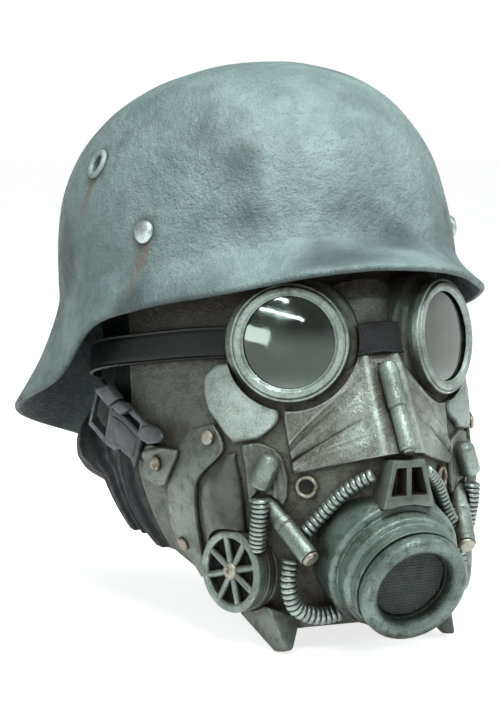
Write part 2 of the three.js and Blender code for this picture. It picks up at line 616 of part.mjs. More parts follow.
// Front and rear arm of the jaw plates
const jawRows = sized([
  { z: -0.294, from: 1.9, to: 2.16 }, { z: -0.335, from: 1.84, to: 2.27 },
  { z: -0.388, from: 1.84, to: 2.33 }, { z: -0.447, from: 2.1, to: 2.42 },
  { z: -0.494, from: 2.17, to: 2.46 }, { z: -0.618, from: 2.24, to: 2.53 },
  { z: -0.747, from: 2.3, to: 2.44 },
], { z: face.low })
const rearRows = sized([
  { z: -0.4, from: 2.5, to: 2.7 }, { z: -0.494, from: 2.52, to: 2.68 }, { z: -0.6, from: 2.5, to: 2.66 },
  { z: -0.694, from: 2.44, to: 2.54 },
], { z: face.low })
// Plate that holds the webbing
const anchorRows = sized([
  { z: -0.312, from: 2.5, to: 2.54 }, { z: -0.353, from: 2.26, to: 2.575 },
  { z: -0.376, from: 2.28, to: 2.595 }, { z: -0.406, from: 2.34, to: 2.61 },
  { z: -0.447, from: 2.42, to: 2.48 },
], { z: face.low })
// Pillowed panel and duct cover in front of the canister
const panelRows = sized([
  { z: -0.394, from: 1.7, to: 1.8 }, { z: -0.424, from: 1.7, to: 1.92 },
  { z: -0.471, from: 1.68, to: 2.08 }, { z: -0.588, from: 1.67, to: 2.16 },
  { z: -0.706, from: 1.7, to: 2.2 },
], { z: face.low })
const ductRows = sized([
  { z: -0.373, from: 1.42, to: 1.62 }, { z: -0.4, from: 1.24, to: 1.63 },
  { z: -0.435, from: 1.17, to: 1.62 }, { z: -0.494, from: 1.15, to: 1.62 },
  { z: -0.547, from: 1.18, to: 1.62 }, { z: -0.582, from: 1.24, to: 1.36 },
], { z: face.low })
// Rivets: place on the face and the height of the plate under them
const rivets = [
  { name: 'anchor_rivet', u: 2.45, z: -0.376, lift: anchor.top + 0.2 + gap },
  { name: 'upper_rivet', u: 1.96, z: -0.335, lift: plate.height + plate.crown + gap },
  { name: 'lower_rivet', u: 2.44, z: -0.629, lift: plate.height + plate.crown + gap },
]
const webPath = sized([
  { u: 3.2, z: -0.1 }, { u: 3.05, z: -0.141 }, { u: 2.83, z: -0.218 }, { u: 2.61, z: -0.294 }, { u: 2.5, z: -0.335 },
], { z: face.low })

// Buckle: plate, wire loop with its window, bar, and raised blocks, seen from outside
const buckleForm = {
  plate: [[-0.42, 0.08], [-0.36, 0.16], [-0.04, 0.21], [0.43, 0.19], [0.53, 0.13], [0.52, -0.3], [0.36, -0.25],
    [0.02, -0.27], [-0.11, -0.36], [-0.36, -0.4]],
  loop: [[-0.96, 0.23], [-0.95, -0.38], [-0.36, -0.4], [-0.4, 0.23]],
  window: [[-0.88, 0.16], [-0.46, 0.1], [-0.43, -0.31], [-0.87, -0.3]],
  bar: [[0, 0.3], [0.4, 0.31], [0.4, 0.15], [0.46, 0.15], [0.5, 0.26], [1, 0.4], [0.98, 0.46], [0.46, 0.39],
    [0, 0.4]],
  first: [[-0.93, 0.21], [-0.55, 0.46], [-0.2, 0.4], [-0.44, 0.16], [-0.75, 0.18]],
  second: [[-0.385, 0.195], [-0.2, 0.37], [-0.01, 0.42], [0.12, 0.385], [-0.06, 0.21]],
  clip: [[0.485, 0.215], [0.55, 0.35], [0.72, 0.46], [0.94, 0.52], [1.12, 0.475], [1.06, 0.36], [0.8, 0.2],
    [0.6, 0.17]],
}
function bucklePiece(outline, top, x, { hole, under = buckle.under } = {}) {
  const u = buckle.u
  const z = buckle.z * face.low
  const out = formNormal(u, z)
  const back = formPoint(u + 0.02, z).sub(formPoint(u - 0.02, z)).normalize()
  const up = vec(0, 0, 0).crossVectors(out, back)
  const [c, s] = [Math.cos(rad(buckle.turn)), Math.sin(rad(buckle.turn))]
  const along = back.clone().multiplyScalar(-c).addScaledVector(up, -s)
  const across = back.clone().multiplyScalar(-s).addScaledVector(up, c)
  const origin = onFace(buckle, 1).addScaledVector(out, -under)
  const place = new THREE.Matrix4().makeBasis(mirrored(along, x), mirrored(across, x), mirrored(out, x))
    .setPosition(mirrored(origin, x))
  const scaled = (points) => points.map(([a, b]) => [a * buckle.size, b * buckle.size])
  return prism(scaled(outline), under + top, place, hole ? [scaled(hole)] : [])
}

// Hose lines
const sideLine = sized([
  { u: 1.45, z: -0.535, lift: 1 }, { u: 1.46, z: -0.571, lift: 1 }, { u: 1.48, z: -0.618, lift: 0.98 },
  { u: 1.5, z: -0.682, lift: 0.935 },
], { lift: hoses.side.lift })
const upperLine = [
  { x: 0.474, y: -0.801, z: -0.682 }, { x: 0.381, y: -0.853, z: -0.624 },
  { x: 0.278, y: -0.929, z: -0.559 }, { x: 0.16, y: -1, z: -0.521 },
]
const lowerLine = [
  { x: 0.515, y: -0.756, z: -0.741 }, { x: 0.526, y: -0.731, z: -0.824 },
  { x: 0.474, y: -0.705, z: -0.894 }, { x: 0.351, y: -0.705, z: -0.924 },
  { x: 0.227, y: -0.718, z: -0.918 },
]

for (const { name, x } of sides) {
  const on = (options) => ({ x, low: rest, ...options })
  addPiece(`cheek_guard_${name}`,
    biggest(cut(formPlate(guardRows, on({ cols: 4, high: guard.height, crown: guard.crown })), flangeCut(x))),
    ...paint.pewter)
  const front = formPlate(jawRows, on({ cols: 3, high: plate.height, crown: plate.crown }))
  const rear = formPlate(rearRows, on({ cols: 2, high: plate.height - 0.3 }))
  addPiece(`jaw_plate_${name}`, cut(join(front, rear), filterCut(x)), ...paint.dark)
  const b = buckleForm
  const above = { under: buckle.under + gap }
  addPiece(`anchor_plate_${name}`, biggest(cut(
    formPlate(anchorRows, on({ cols: 3, low: anchor.low, high: anchor.top })),
    bucklePiece(b.plate, buckle.block, x, above), bucklePiece(b.bar, buckle.block, x, above),
    bucklePiece(b.clip, buckle.block, x, { under: -buckle.bar }))), ...paint.pewter)
  for (const rivet of rivets) {
    addPiece(`${rivet.name}_${name}`, turned([
      [0, 0], [stud.radius, 0], [stud.radius, stud.side], [stud.radius * 0.6, stud.height], [0, stud.height],
    ], 10, onFace(rivet, x), formNormal(x * rivet.u, rivet.z * face.low)), ...paint.copper)
  }
  addPiece(`webbing_${name}`,
    formStrap(webPath, { x, width: web.width, low: rest, high: rest + web.thickness, steps: 8 }), ...paint.strap)
  addPiece(`buckle_${name}`, join(
    bucklePiece(b.plate, buckle.deck, x), bucklePiece(b.loop, buckle.bar, x, { hole: b.window }),
    bucklePiece(b.bar, buckle.bar, x), bucklePiece(b.first, buckle.block, x),
    bucklePiece(b.second, buckle.block, x)), ...paint.plastic)
  addPiece(`buckle_clip_${name}`,
    bucklePiece(b.clip, buckle.block, x, { under: -buckle.bar - gap }), ...paint.plastic)
  addPiece(`cheek_panel_${name}`,
    biggest(cut(formPlate(panelRows, on({ cols: 4, high: pillow.height, crown: pillow.crown })), filterCut(x))),
    ...paint.dark)
  const [from, to] = [onFace(elbow.from, x), onFace(elbow.to, x)]
  const length = from.distanceTo(to)
  const knee = turned([
    [0, 0], [elbow.radius * 0.65, 0.8], [elbow.radius, elbow.round], [elbow.radius, length], [0, length],
  ], 10, from, to.clone().sub(from))
  const flat = formPlate(ductRows, on({ cols: 3, high: duct.height, crown: duct.crown }))
  addPiece(`duct_panel_${name}`, biggest(cut(join(flat, knee), pipeRoom(x))), ...paint.dark)
  addPiece(`side_hose_${name}`,
    biggest(cut(hose(sideLine.map((p) => onFace(p, x)), hoses.side), filterCut(x), pipeRoom(x))), ...paint.pewter)
  const pipeLength = pipeAxis(x).length()
  const capAt = pipeLength - pipe.capStart
  addPiece(`junction_pipe_${name}`, biggest(cut(turned([
    [0, 0], [pipe.neck, 0], [pipe.neck, pipe.step], [pipe.radius, pipe.step + 1], [pipe.radius, capAt], [0, capAt],
  ], 10, placed(pipe.start, x), pipeAxis(x)), seat, muzzleCut)), ...paint.pewter)
  addPiece(`pipe_cap_${name}`, biggest(cut(turned([
    [0, capAt + gap], [pipe.cap, capAt + gap], [pipe.cap, pipeLength], [0, pipeLength + pipe.dome],
  ], 10, placed(pipe.start, x), pipeAxis(x)), muzzleCut)), ...paint.copper)
  addPiece(`upper_hose_${name}`,
    biggest(cut(hose(upperLine.map((p) => placed(p, x)), hoses.upper), pipeRoom(x), muzzleCut)), ...paint.pewter)
  addPiece(`lower_hose_${name}`,
    biggest(cut(hose(lowerLine.map((p) => placed(p, x)), hoses.lower), pipeRoom(x), muzzleCut)), ...paint.pewter)
  const g = grommet
  addPiece(`grommet_${name}`, turned([
    [g.hole, 0], [g.radius, 0], [g.radius - g.slope, g.height], [g.hole, g.height - g.slope], [g.hole, 0],
  ], 12, placed(g.centre, x), formNormal(x * g.facing, g.centre.z * face.low)), ...paint.copper)

  const centre = placed(filter.centre, x)
  const axis = mirrored(filter.axis, x).normalize()
  const f = filter
  addPiece(`filter_body_${name}`, biggest(cut(turned([
    [0, -f.wheel - gap - f.wall], [f.radius - f.wall, -f.wheel - gap - f.wall],
    [f.radius - f.wall, -f.back], [f.radius, -f.back], [f.radius, -f.wheel - gap], [0, -f.wheel - gap],
  ], 16, centre, axis), seat)), ...paint.dark)
  const across = vec(0, 0, 0).crossVectors(vec(0, 0, 1), axis).normalize()
  const rise = vec(0, 0, 0).crossVectors(axis, across)
  const polar = (r, a) => [r * Math.cos(a), r * Math.sin(a)]
  const rimLine = range(16).map((k) => polar(f.radius, k * Math.PI / 8))
  const holes = range(f.spokes).map((k) => {
    const [a0, a1] = [2 * Math.PI * k / f.spokes, 2 * Math.PI * (k + 1) / f.spokes]
    const [outerTurn, innerTurn] = [f.spoke / 2 / f.opening, 0.4 * f.spoke / (f.hub + 1)]
    return [polar(f.opening, a0 + outerTurn), polar(f.opening, a1 - outerTurn),
      polar(f.hub + 1, a1 - innerTurn), polar(f.hub + 1, a0 + innerTurn)]
  })
  const base = centre.clone().addScaledVector(axis, -f.wheel)
  const wheel = prism(rimLine, f.wheel, frameOf(base, across, rise), holes)
  const hub = turned([[0, -2], [f.hub, -2], [f.hub, 0.8], [0, f.boss]], 10, centre, axis)
  addPiece(`filter_wheel_${name}`, biggest(cut(join(wheel, hub), seat)), ...paint.pewter)
}

// Folded cover over the nose: heights of each row at the nose and at its side edge, and the fold's height
const coverRows = sized([
  { nose: 0.094, side: -0.176, fold: 0, ease: 3 },
  { nose: 0.024, side: -0.224, fold: 0, ease: 2.4 },
  { nose: -0.047, side: -0.282, fold: 0, ease: 1.8 },
  { nose: -0.106, side: -0.341, fold: 0.43, ease: 1.3 },
  { nose: -0.171, side: -0.406, fold: -0.43, ease: 1 },
  { nose: -0.235, side: -0.424, fold: 0.86, ease: 1 },
  { nose: -0.306, side: -0.444, fold: -0.43, ease: 1 },
  { nose: -0.388, side: -0.465, fold: 1, ease: 1 },
  { nose: -0.465, side: -0.482, fold: 0, ease: 1 },
], { nose: face.low, side: face.low, fold: cover.fold })
const ridge = sized([
  { z: -0.471, lift: 0.8 }, { z: -0.412, lift: 0.56 }, { z: -0.324, lift: 0.36 },
  { z: -0.176, lift: 0.33 }, { z: -0.147, lift: 0.38 }, { z: -0.094, lift: 0.48 },
  { z: -0.041, lift: 0.71 }, { z: 0.024, lift: 1 }, { z: 0.082, lift: 0.89 },
], { z: face.low, lift: cover.ridge })
function noseCover() {
  const us = [-1, -0.7, -0.4, -0.2, -0.1, 0, 0.1, 0.2, 0.4, 0.7, 1]
  const grid = (down) => coverRows.map(({ nose, side, fold, ease }) => us.map((s) => {
    const u = s * cover.edge
    const z = nose + (side - nose) * Math.abs(s) ** ease
    const top = between(ridge, 'z', z, 'lift')
    const beside = Math.exp(-(((Math.abs(u) - cover.lipAt) / 0.08) ** 2))
    const lip = z < nosePipe.top.z * face.low ? cover.lip * beside : 0
    const soft = fold * smooth((Math.abs(u) - cover.lipAt) / 0.3)
    const lift = cover.lift + (top - cover.lift) * (1 - smooth(Math.abs(u) / cover.foot)) + lip + soft
    return formPoint(u, z, Math.max(lift - down, rest - cover.wall + down))
  }))
  return slab(grid(0), grid(cover.wall))
}

// Pipe along the nose and the slotted frame below it
const noseTop = placed(nosePipe.top)
const noseAxis = placed(nosePipe.end).sub(noseTop)
addPiece('nose_pipe', turned([
  [0, 0], [nosePipe.radius * 0.7, 0.8], [nosePipe.radius, nosePipe.round], [nosePipe.radius, nosePipe.seam],
  [nosePipe.lower, nosePipe.seam + 0.6], [nosePipe.lower, noseAxis.length()], [0, noseAxis.length()],
], 12, noseTop, noseAxis), ...paint.pewter)
const noseGroove = cylinder(nosePipe.radius + gap, -1, noseAxis.length() + 1, noseTop, noseAxis, 12)
addPiece('snout_cover',
  biggest(cut(noseCover(), flangeCut(1), flangeCut(-1), noseGroove, bridgeStrap(gap))), ...paint.pewter)

function ventGeometry() {
  const v = ventFrame
  const down = vec(0, Math.sin(rad(v.lean)), -Math.cos(rad(v.lean)))
  const at = (b) => v.half + (v.base - v.half) * Math.min(1, b / v.height) - v.rail
  const slot = (s) => [[s * v.post, -v.bar - v.slot], [s * at(v.bar + v.slot), -v.bar - v.slot],
    [s * at(v.bar), -v.bar], [s * v.post, -v.bar]]
  const outline = [[-v.base, -v.height], [v.base, -v.height], [v.half, 0], [-v.half, 0]]
  const place = (back) => frameOf(placed(v.top), vec(1, 0, 0), down.clone().negate())
    .multiply(new THREE.Matrix4().makeTranslation(0, 0, back))
  return cut(prism(outline, v.depth, place(-v.depth)),
    prism(slot(1), v.depth + 2, place(-v.depth - 1)), prism(slot(-1), v.depth + 2, place(-v.depth - 1)))
}
addPiece('vent_frame', biggest(cut(ventGeometry(), seat, muzzleCut)), ...paint.dark)

// Muzzle
const m = muzzle
addPiece('muzzle_body', biggest(cut(turned([
  [m.bore, -5], [m.flange - m.wall, -5], [m.flange - m.wall, -m.back], [m.flange, -m.back],
  [m.flange, -m.round], [m.flange - m.round, 0], [m.barrel, 0.4], [m.barrel, m.step], [m.neck, m.shoulder],
  [m.neck, m.ringStart - gap], [m.bore, m.ringStart - gap], [m.bore, -5],
], m.sides, muzzleCentre, muzzleAxis), seat)), ...paint.pewter)
addPiece('muzzle_ring', turned([
  [m.bore, m.ringStart], [m.ring - 1, m.ringStart], [m.ring, m.ringStart + 2], [m.ring, m.ringEnd - 2],
  [m.ring - m.ringRound, m.ringEnd], [m.ring - m.ringRound - m.wall, m.ringEnd], [m.bore, m.ringEnd - m.wall],
  [m.bore, m.ringStart],
], m.sides, muzzleCentre, muzzleAxis), ...paint.pewter)
addPiece('muzzle_gauze', turned([
  [0, m.gauze], [m.bore - gap, m.gauze], [m.bore - gap, m.gauze + m.bulge], [0, m.gauze + 2 * m.bulge],
], m.sides, muzzleCentre, muzzleAxis), ...paint.dark)

// Chin plate with its two feet
const chinRows = sized([
  { z: -0.882, from: -1.3, to: 1.3 }, { z: -0.947, from: -1.25, to: 1.25 },
], { z: face.low })
const foot = {
  top: [
    { x: 0.629, y: -0.423, z: -0.876 }, { x: 0.577, y: -0.596, z: -0.871 },
    { x: 0.392, y: -0.622, z: -0.924 }, { x: 0.433, y: -0.474, z: -0.912 },
  ],
  toe: [
    { x: 0.557, y: -0.59, z: -1.018 }, { x: 0.536, y: -0.647, z: -1.024 },
    { x: 0.474, y: -0.647, z: -1.018 }, { x: 0.495, y: -0.596, z: -1.018 },
  ],
}
function footGeometry(x) {
  const points = [...foot.top, ...foot.toe].map((p) => placed(p, x))
  const faces = [0, 1, 2, 0, 2, 3, 4, 6, 5, 4, 7, 6]
  for (let k = 0; k < 4; k++) {
    const j = (k + 1) % 4
    faces.push(k, k + 4, j + 4, k, j + 4, j)
  }
  return geometryOf(points, faces)
}
const chin = join(formPlate(chinRows, { cols: 8, low: rest, high: chinTop }), footGeometry(1), footGeometry(-1))
addPiece('chin_plate', biggest(cut(chin, hemSeat, muzzleCut, filterCut(1), filterCut(-1))), ...paint.pewter)

export default part
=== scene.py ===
"""Looks of the overhead costume mask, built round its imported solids.

The pieces are drawn in millimetres in the frame of an upright head, as the solids are, and placed
in the row frame by row(). u is 0 at the nose, 1 at the cheek, 2 at the jaw, 3 at the side and 5 at
the back of the head.
"""
import math

import bmesh
import bpy
import numpy as np
from mathutils import Matrix, Quaternion, Vector

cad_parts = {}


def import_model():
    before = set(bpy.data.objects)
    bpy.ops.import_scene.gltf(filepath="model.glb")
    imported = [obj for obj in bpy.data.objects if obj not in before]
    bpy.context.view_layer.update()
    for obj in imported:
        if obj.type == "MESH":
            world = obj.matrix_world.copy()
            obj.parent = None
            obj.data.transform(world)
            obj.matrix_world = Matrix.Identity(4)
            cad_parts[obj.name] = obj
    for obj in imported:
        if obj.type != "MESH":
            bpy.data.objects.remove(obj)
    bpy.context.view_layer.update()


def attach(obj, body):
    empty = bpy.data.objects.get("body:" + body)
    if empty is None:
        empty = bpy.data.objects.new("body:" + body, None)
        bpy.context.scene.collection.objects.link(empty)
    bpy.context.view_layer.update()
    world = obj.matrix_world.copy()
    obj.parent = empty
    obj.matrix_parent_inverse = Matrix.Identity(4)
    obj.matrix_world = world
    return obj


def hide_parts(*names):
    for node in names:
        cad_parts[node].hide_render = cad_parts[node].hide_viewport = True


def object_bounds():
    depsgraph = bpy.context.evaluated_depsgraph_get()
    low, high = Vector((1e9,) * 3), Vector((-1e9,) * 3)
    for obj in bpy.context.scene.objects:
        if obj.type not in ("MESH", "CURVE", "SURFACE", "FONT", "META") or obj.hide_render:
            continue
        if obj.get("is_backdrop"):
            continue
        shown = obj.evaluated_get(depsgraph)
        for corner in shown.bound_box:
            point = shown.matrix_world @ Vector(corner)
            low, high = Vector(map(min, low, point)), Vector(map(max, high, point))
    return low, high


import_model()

TILT = math.radians(15)
SEAT = 165.0
RIGHT, LEFT = -1, 1
NAMES = {RIGHT: "right", LEFT: "left"}


def row(points):
    """Head frame in millimetres to the row frame in metres."""
    p = np.asarray(points, float).reshape(-1, 3)
    y, z = p[:, 1], p[:, 2] - SEAT
    c, s = math.cos(TILT), math.sin(TILT)
    return np.stack([p[:, 0], y * c + z * s, z * c - y * s], 1) * 0.001


# Camera
AIM = Vector(row([(0, 0, 0)])[0])
DISTANCE, AZIMUTH, ELEVATION = 1.3, math.radians(24.84), math.radians(5.62)
FOCAL, TALL, SENSOR = 2203.4, 714, 36.0
back = Vector((-math.sin(AZIMUTH) * math.cos(ELEVATION), -math.cos(AZIMUTH) * math.cos(ELEVATION),
               math.sin(ELEVATION)))
side = Vector((math.cos(AZIMUTH), -math.sin(AZIMUTH), 0))
camera_data = bpy.data.cameras.new("camera")
camera_data.sensor_width = SENSOR
camera_data.lens = FOCAL / TALL * SENSOR
camera_data.shift_x = -10 / TALL
camera = bpy.data.objects.new("camera", camera_data)
bpy.context.scene.collection.objects.link(camera)
turn = Matrix((side, back.cross(side), back)).transposed().to_4x4()
camera.matrix_world = Matrix.Translation(AIM + back * DISTANCE) @ turn
bpy.context.scene.camera = camera


# Materials
class Finish:
    """Node builder of one material, in object coordinates."""

    def __init__(self, name):
        self.material = bpy.data.materials.new(name)
        self.material.use_nodes = True
        self.tree = self.material.node_tree
        self.shader = self.tree.nodes["Principled BSDF"]
        self.place = self.node("ShaderNodeTexCoord").outputs["Object"]

    def node(self, kind, **settings):
        made = self.tree.nodes.new(kind)
        for key, value in settings.items():
            setattr(made, key, value)
        return made

    def feed(self, socket, value):
        if isinstance(value, bpy.types.NodeSocket):
            self.tree.links.new(value, socket)
        elif isinstance(value, (tuple, list)) and len(value) == 3 and socket.type == "RGBA":
            socket.default_value = (*value, 1)
        else:
            socket.default_value = value

    def noise(self, scale, detail=3, rough=0.55, place=None, squash=None):
        made = self.node("ShaderNodeTexNoise")
        made.inputs["Scale"].default_value = scale
        made.inputs["Detail"].default_value = detail
        made.inputs["Roughness"].default_value = rough
        source = place or self.place
        if squash:
            mapping = self.node("ShaderNodeMapping")
            mapping.inputs["Scale"].default_value = squash
            self.feed(mapping.inputs["Vector"], source)
            source = mapping.outputs[0]
        self.feed(made.inputs["Vector"], source)
        return made.outputs["Fac"]

    def span(self, value, low, high, to_low=0.0, to_high=1.0):
        made = self.node("ShaderNodeMapRange", interpolation_type="SMOOTHSTEP")
        for key, number in zip(("From Min", "From Max", "To Min", "To Max"), (low, high, to_low, to_high)):
            made.inputs[key].default_value = number
        self.feed(made.inputs["Value"], value)
        return made.outputs[0]

    def math(self, operation, a, b=0.0):
        made = self.node("ShaderNodeMath", operation=operation)
        self.feed(made.inputs[0], a)
        self.feed(made.inputs[1], b)
        return made.outputs[0]

    def vector(self, operation, a, b=None):
        made = self.node("ShaderNodeVectorMath", operation=operation)
        self.feed(made.inputs[0], a)
        if b is not None:
            self.feed(made.inputs[1], b)
        return made.outputs["Value" if operation in ("DOT_PRODUCT", "LENGTH", "DISTANCE") else "Vector"]

    def mix(self, a, b, factor, blend="MIX"):
        made = self.node("ShaderNodeMix", data_type="RGBA", blend_type=blend, clamp_factor=True)
        self.feed(made.inputs[0], factor)
        self.feed(made.inputs[6], a)
        self.feed(made.inputs[7], b)
        return made.outputs[2]

    def occlusion_shade(self, distance, low, high):
        """Mask of painted shade from ambient occlusion: 1 deep in a corner, 0 in the open."""
        made = self.node("ShaderNodeAmbientOcclusion", samples=6)
        made.inputs["Distance"].default_value = distance
        return self.span(made.outputs["AO"], low, high, 1.0, 0.0)

    def edges(self, low, high):
        """Mask of a painted highlight: 1 on sharp outer edges."""
        return self.span(self.node("ShaderNodeNewGeometry").outputs["Pointiness"], low, high)

    def bump(self, height, distance, strength=1.0, below=None):
        made = self.node("ShaderNodeBump")
        made.inputs["Strength"].default_value = strength
        made.inputs["Distance"].default_value = distance
        self.feed(made.inputs["Height"], height)
        if below is not None:
            self.feed(made.inputs["Normal"], below)
        return made.outputs[0]

    def done(self, colour, roughness, normal=None, metallic=0.0, **fixed):
        self.feed(self.shader.inputs["Base Color"], colour)
        self.feed(self.shader.inputs["Roughness"], roughness)
        self.shader.inputs["Metallic"].default_value = metallic
        if normal is not None:
            self.feed(self.shader.inputs["Normal"], normal)
        for key, value in fixed.items():
            self.shader.inputs[key].default_value = value
        return self.material


def aged_with_painted_light(name, base, light, dark, metallic, roughness, grain=0.00025, shade_and_dirt_wash=0.8, speck=0.35, reach=0.012,
         fine=1100, seed=0.0, blotch=0.35, low=0.35, shine=0.5, edge_highlight_span=(0.515, 0.6), extra=None):
    """Painted finish: blotches and fine grain, a painted highlight on the sharp edges of metal finishes, and a dark
    wash in the corners that is partly dirt and partly painted shade.
    """
    f = Finish(name)
    moved = f.vector("ADD", f.place, (seed, seed * 0.7, seed * 1.3))
    broad = f.span(f.noise(26, 3, place=moved), 0.35, 0.68)
    small = f.span(f.noise(140, 4, 0.6, place=moved), 0.36, 0.66)
    sand = f.noise(fine, 2, 0.7, place=moved)
    colour = f.mix(base, light, f.math("MULTIPLY", broad, 0.75))
    colour = f.mix(colour, dark, f.math("MULTIPLY", f.span(small, 0.55, 1.0), blotch))
    colour = f.mix(colour, light, f.math("MULTIPLY", f.span(sand, 0.55, 0.72), speck))
    colour = f.mix(colour, dark, f.math("MULTIPLY", f.span(sand, 0.46, 0.3), speck * 1.3))
    if extra:
        colour = extra(f, colour)
    # Painted highlight: sharp outer edges of the metal finishes take the light colour.
    if metallic > 0.2:
        colour = f.mix(colour, light, f.math("MULTIPLY", f.edges(*edge_highlight_span), 0.7))
    # Dark wash, partly dirt and partly painted shade: corners and recesses within reach of ambient occlusion take the
    # dark colour.
    deep = f.occlusion_shade(reach, low, 0.95)
    painted_shade_and_dirt = f.math("MULTIPLY", deep, f.span(small, 0.0, 1.0, 0.75, 1.0))
    colour = f.mix(colour, dark, f.math("MULTIPLY", painted_shade_and_dirt, shade_and_dirt_wash))
    rough = f.math("ADD", f.span(small, 0.0, 1.0, roughness - 0.06, roughness + 0.09),
                   f.math("MULTIPLY", deep, 0.2))
    normal = f.bump(f.math("ADD", sand, f.math("MULTIPLY", small, 0.6)), grain)
    return f.done(colour, rough, normal, metallic, **{"Specular IOR Level": shine})


BROWN = (0.034, 0.022, 0.013)


# Head form, from the same sections as the solids
SECTIONS = np.array([
    # height, nose, cheek x, cheek y, jaw x, jaw y, side x, quarter x, quarter y, back
    (-170, -98, 36, -88, 54, -58, 48, 34, 26, 38),
    (-130, -130, 40, -110, 64, -71, 63, 46, 40, 54),
    (-90, -156, 41, -125, 76, -88, 87, 66, 62, 84),
    (-50, -153, 44, -126, 78, -92, 97, 76, 78, 104),
    (-15, -143, 40, -127, 77, -90, 95, 74, 76, 104),
    (20, -134, 42, -122, 76, -86, 91, 70, 72, 99),
    (45, -130, 42, -118, 75, -84, 91, 68, 70, 96),
], float)
WIDTH, FRONT, REAR, OUTLINE, CROWN, BASE, CROWN_CURVE, WALL = 224, 138, 115, 2.1, 169, 50, 2.45, 4
BRIM = np.array([
    # azimuth, height of the crease, reach beyond the dome, height of the rim
    (0, 42, 40, 18), (30, 42, 22, 16), (55, 44, 11, 18), (75, 46, 8, 17),
    (100, 48, 12, -5), (128, 50, 42, -12), (150, 50, 39, -22), (180, 50, 36, -40),
], float)
GAP, REST = 0.35, 0.9


def smooth(t):
    t = np.clip(t, 0, 1)
    return t * t * (3 - 2 * t)


def along(rows, at):
    """Smooth values between the rows of a table, level at both ends."""
    xs, ys = rows[:, 0], rows[:, 1:]
    slopes = np.zeros_like(ys)
    slopes[1:-1] = (ys[2:] - ys[:-2]) / (xs[2:] - xs[:-2])[:, None]
    i = np.clip(np.searchsorted(xs, at) - 1, 0, len(xs) - 2)
    h = (xs[i + 1] - xs[i])[..., None]
    t = np.clip((at - xs[i])[..., None] / h, 0, 1)
    return ((2 * t ** 3 - 3 * t ** 2 + 1) * ys[i] + (t ** 3 - 2 * t ** 2 + t) * h * slopes[i]
            + (3 * t ** 2 - 2 * t ** 3) * ys[i + 1] + (t ** 3 - t ** 2) * h * slopes[i + 1])


def dome_reach(azimuth):
    s = np.abs(np.sin(azimuth)) / (WIDTH / 2)
    c = np.abs(np.cos(azimuth)) / np.where(np.cos(azimuth) > 0, FRONT, REAR)
    return (s ** OUTLINE + c ** OUTLINE) ** (-1 / OUTLINE)


def unit(v):
    return v / np.linalg.norm(v, axis=-1, keepdims=True)


def form_surface(u, z):
    w = along(SECTIONS, z)
    zero = np.zeros_like(z)
    xs = [-w[..., 1], zero, w[..., 1], w[..., 3], w[..., 5], w[..., 6], zero, -w[..., 6]]
    ys = [w[..., 2], w[..., 0], w[..., 2], w[..., 4], zero, w[..., 7], w[..., 8], w[..., 7]]
    plan = np.stack([np.stack(xs), np.stack(ys)], -1)
    v = np.minimum(np.abs(u), 5)
    k = np.minimum(np.floor(v), 4).astype(int)
    t = (v - k)[..., None]
    p0, p1, p2, p3 = (np.take_along_axis(plan, (k + i)[None, ..., None], 0)[0] for i in range(4))
    p = 0.5 * (2 * p1 + (p2 - p0) * t + (2 * p0 - 5 * p1 + 4 * p2 - p3) * t ** 2
               + (3 * p1 - p0 - 3 * p2 + p3) * t ** 3)
    x, y = np.sign(u) * p[..., 0], p[..., 1]
    reach = dome_reach(np.arctan2(np.abs(x), -y)) - WALL - 1.5
    grow = 1 + (reach / np.hypot(x, y) - 1) * smooth((z - 28) / 20)
    return np.stack([x * grow, y * grow, z], -1)


def form_normal(u, z):
    across = form_surface(u + 0.02, z) - form_surface(u - 0.02, z)
    up = form_surface(u, z + 0.5) - form_surface(u, z - 0.5)
    return unit(np.cross(across, up))


def form(u, z, lift=0.0):
    u, z = np.broadcast_arrays(np.asarray(u, float), np.asarray(z, float))
    return form_surface(u, z) + form_normal(u, z) * np.asarray(lift, float)[..., None]


def form_shift(u, z, a, b):
    """Form coordinates of a place a mm across and b mm up from (u, z) along the surface."""
    pu = (form_surface(u + 0.02, z) - form_surface(u - 0.02, z)) / 0.04
    pz = form_surface(u, z + 0.5) - form_surface(u, z - 0.5)
    e1 = unit(pu)
    e2 = np.cross(form_normal(u, z), e1)
    step = b / np.sum(pz * e2, -1)
    return u + (a - np.sum(pz * e1, -1) * step) / np.linalg.norm(pu, axis=-1), z + step


def helmet_points(azimuth, t):
    """Outside of the helmet: t runs from the crown (0) over the crease (1) to the rim (2)."""
    crease, reach, rim = np.moveaxis(along(BRIM, np.abs(azimuth)), -1, 0)
    a = np.radians(azimuth)
    dome = dome_reach(a)
    e = 2 / CROWN_CURVE
    angle = np.minimum(t, 1) * math.pi / 2
    r, z = dome * np.sin(angle) ** e, BASE + (CROWN - BASE) * np.maximum(np.cos(angle), 0) ** e
    s = t - 1
    knee_r, knee_z = dome + 0.22 * reach, crease - 0.42 * (crease - rim)
    brim_r = (1 - s) ** 2 * dome + 2 * s * (1 - s) * knee_r + s * s * (dome + reach)
    brim_z = (1 - s) ** 2 * crease + 2 * s * (1 - s) * knee_z + s * s * rim
    r, z = np.where(t >= 1, brim_r, r), np.where(t >= 1, brim_z, z)
    return np.stack([-np.sin(a) * r, -np.cos(a) * r, z], -1)


# Meshes
def object_of(name, points, faces, material=None, uv=None):
    mesh = bpy.data.meshes.new(name)
    mesh.from_pydata(row(points).tolist(), [], faces)
    if uv is not None:
        layer = mesh.uv_layers.new(name="UVMap")
        loops = np.zeros(len(mesh.loops), int)
        mesh.loops.foreach_get("vertex_index", loops)
        layer.data.foreach_set("uv", np.asarray(uv, float).reshape(-1, 2)[loops].ravel())
    made = bpy.data.objects.new(name, mesh)
    bpy.context.scene.collection.objects.link(made)
    if material:
        mesh.materials.append(material)
    return made


def bake(ob):
    """Applies the object's modifiers."""
    graph = bpy.context.evaluated_depsgraph_get()
    ob.data = bpy.data.meshes.new_from_object(ob.evaluated_get(graph))
    ob.modifiers.clear()


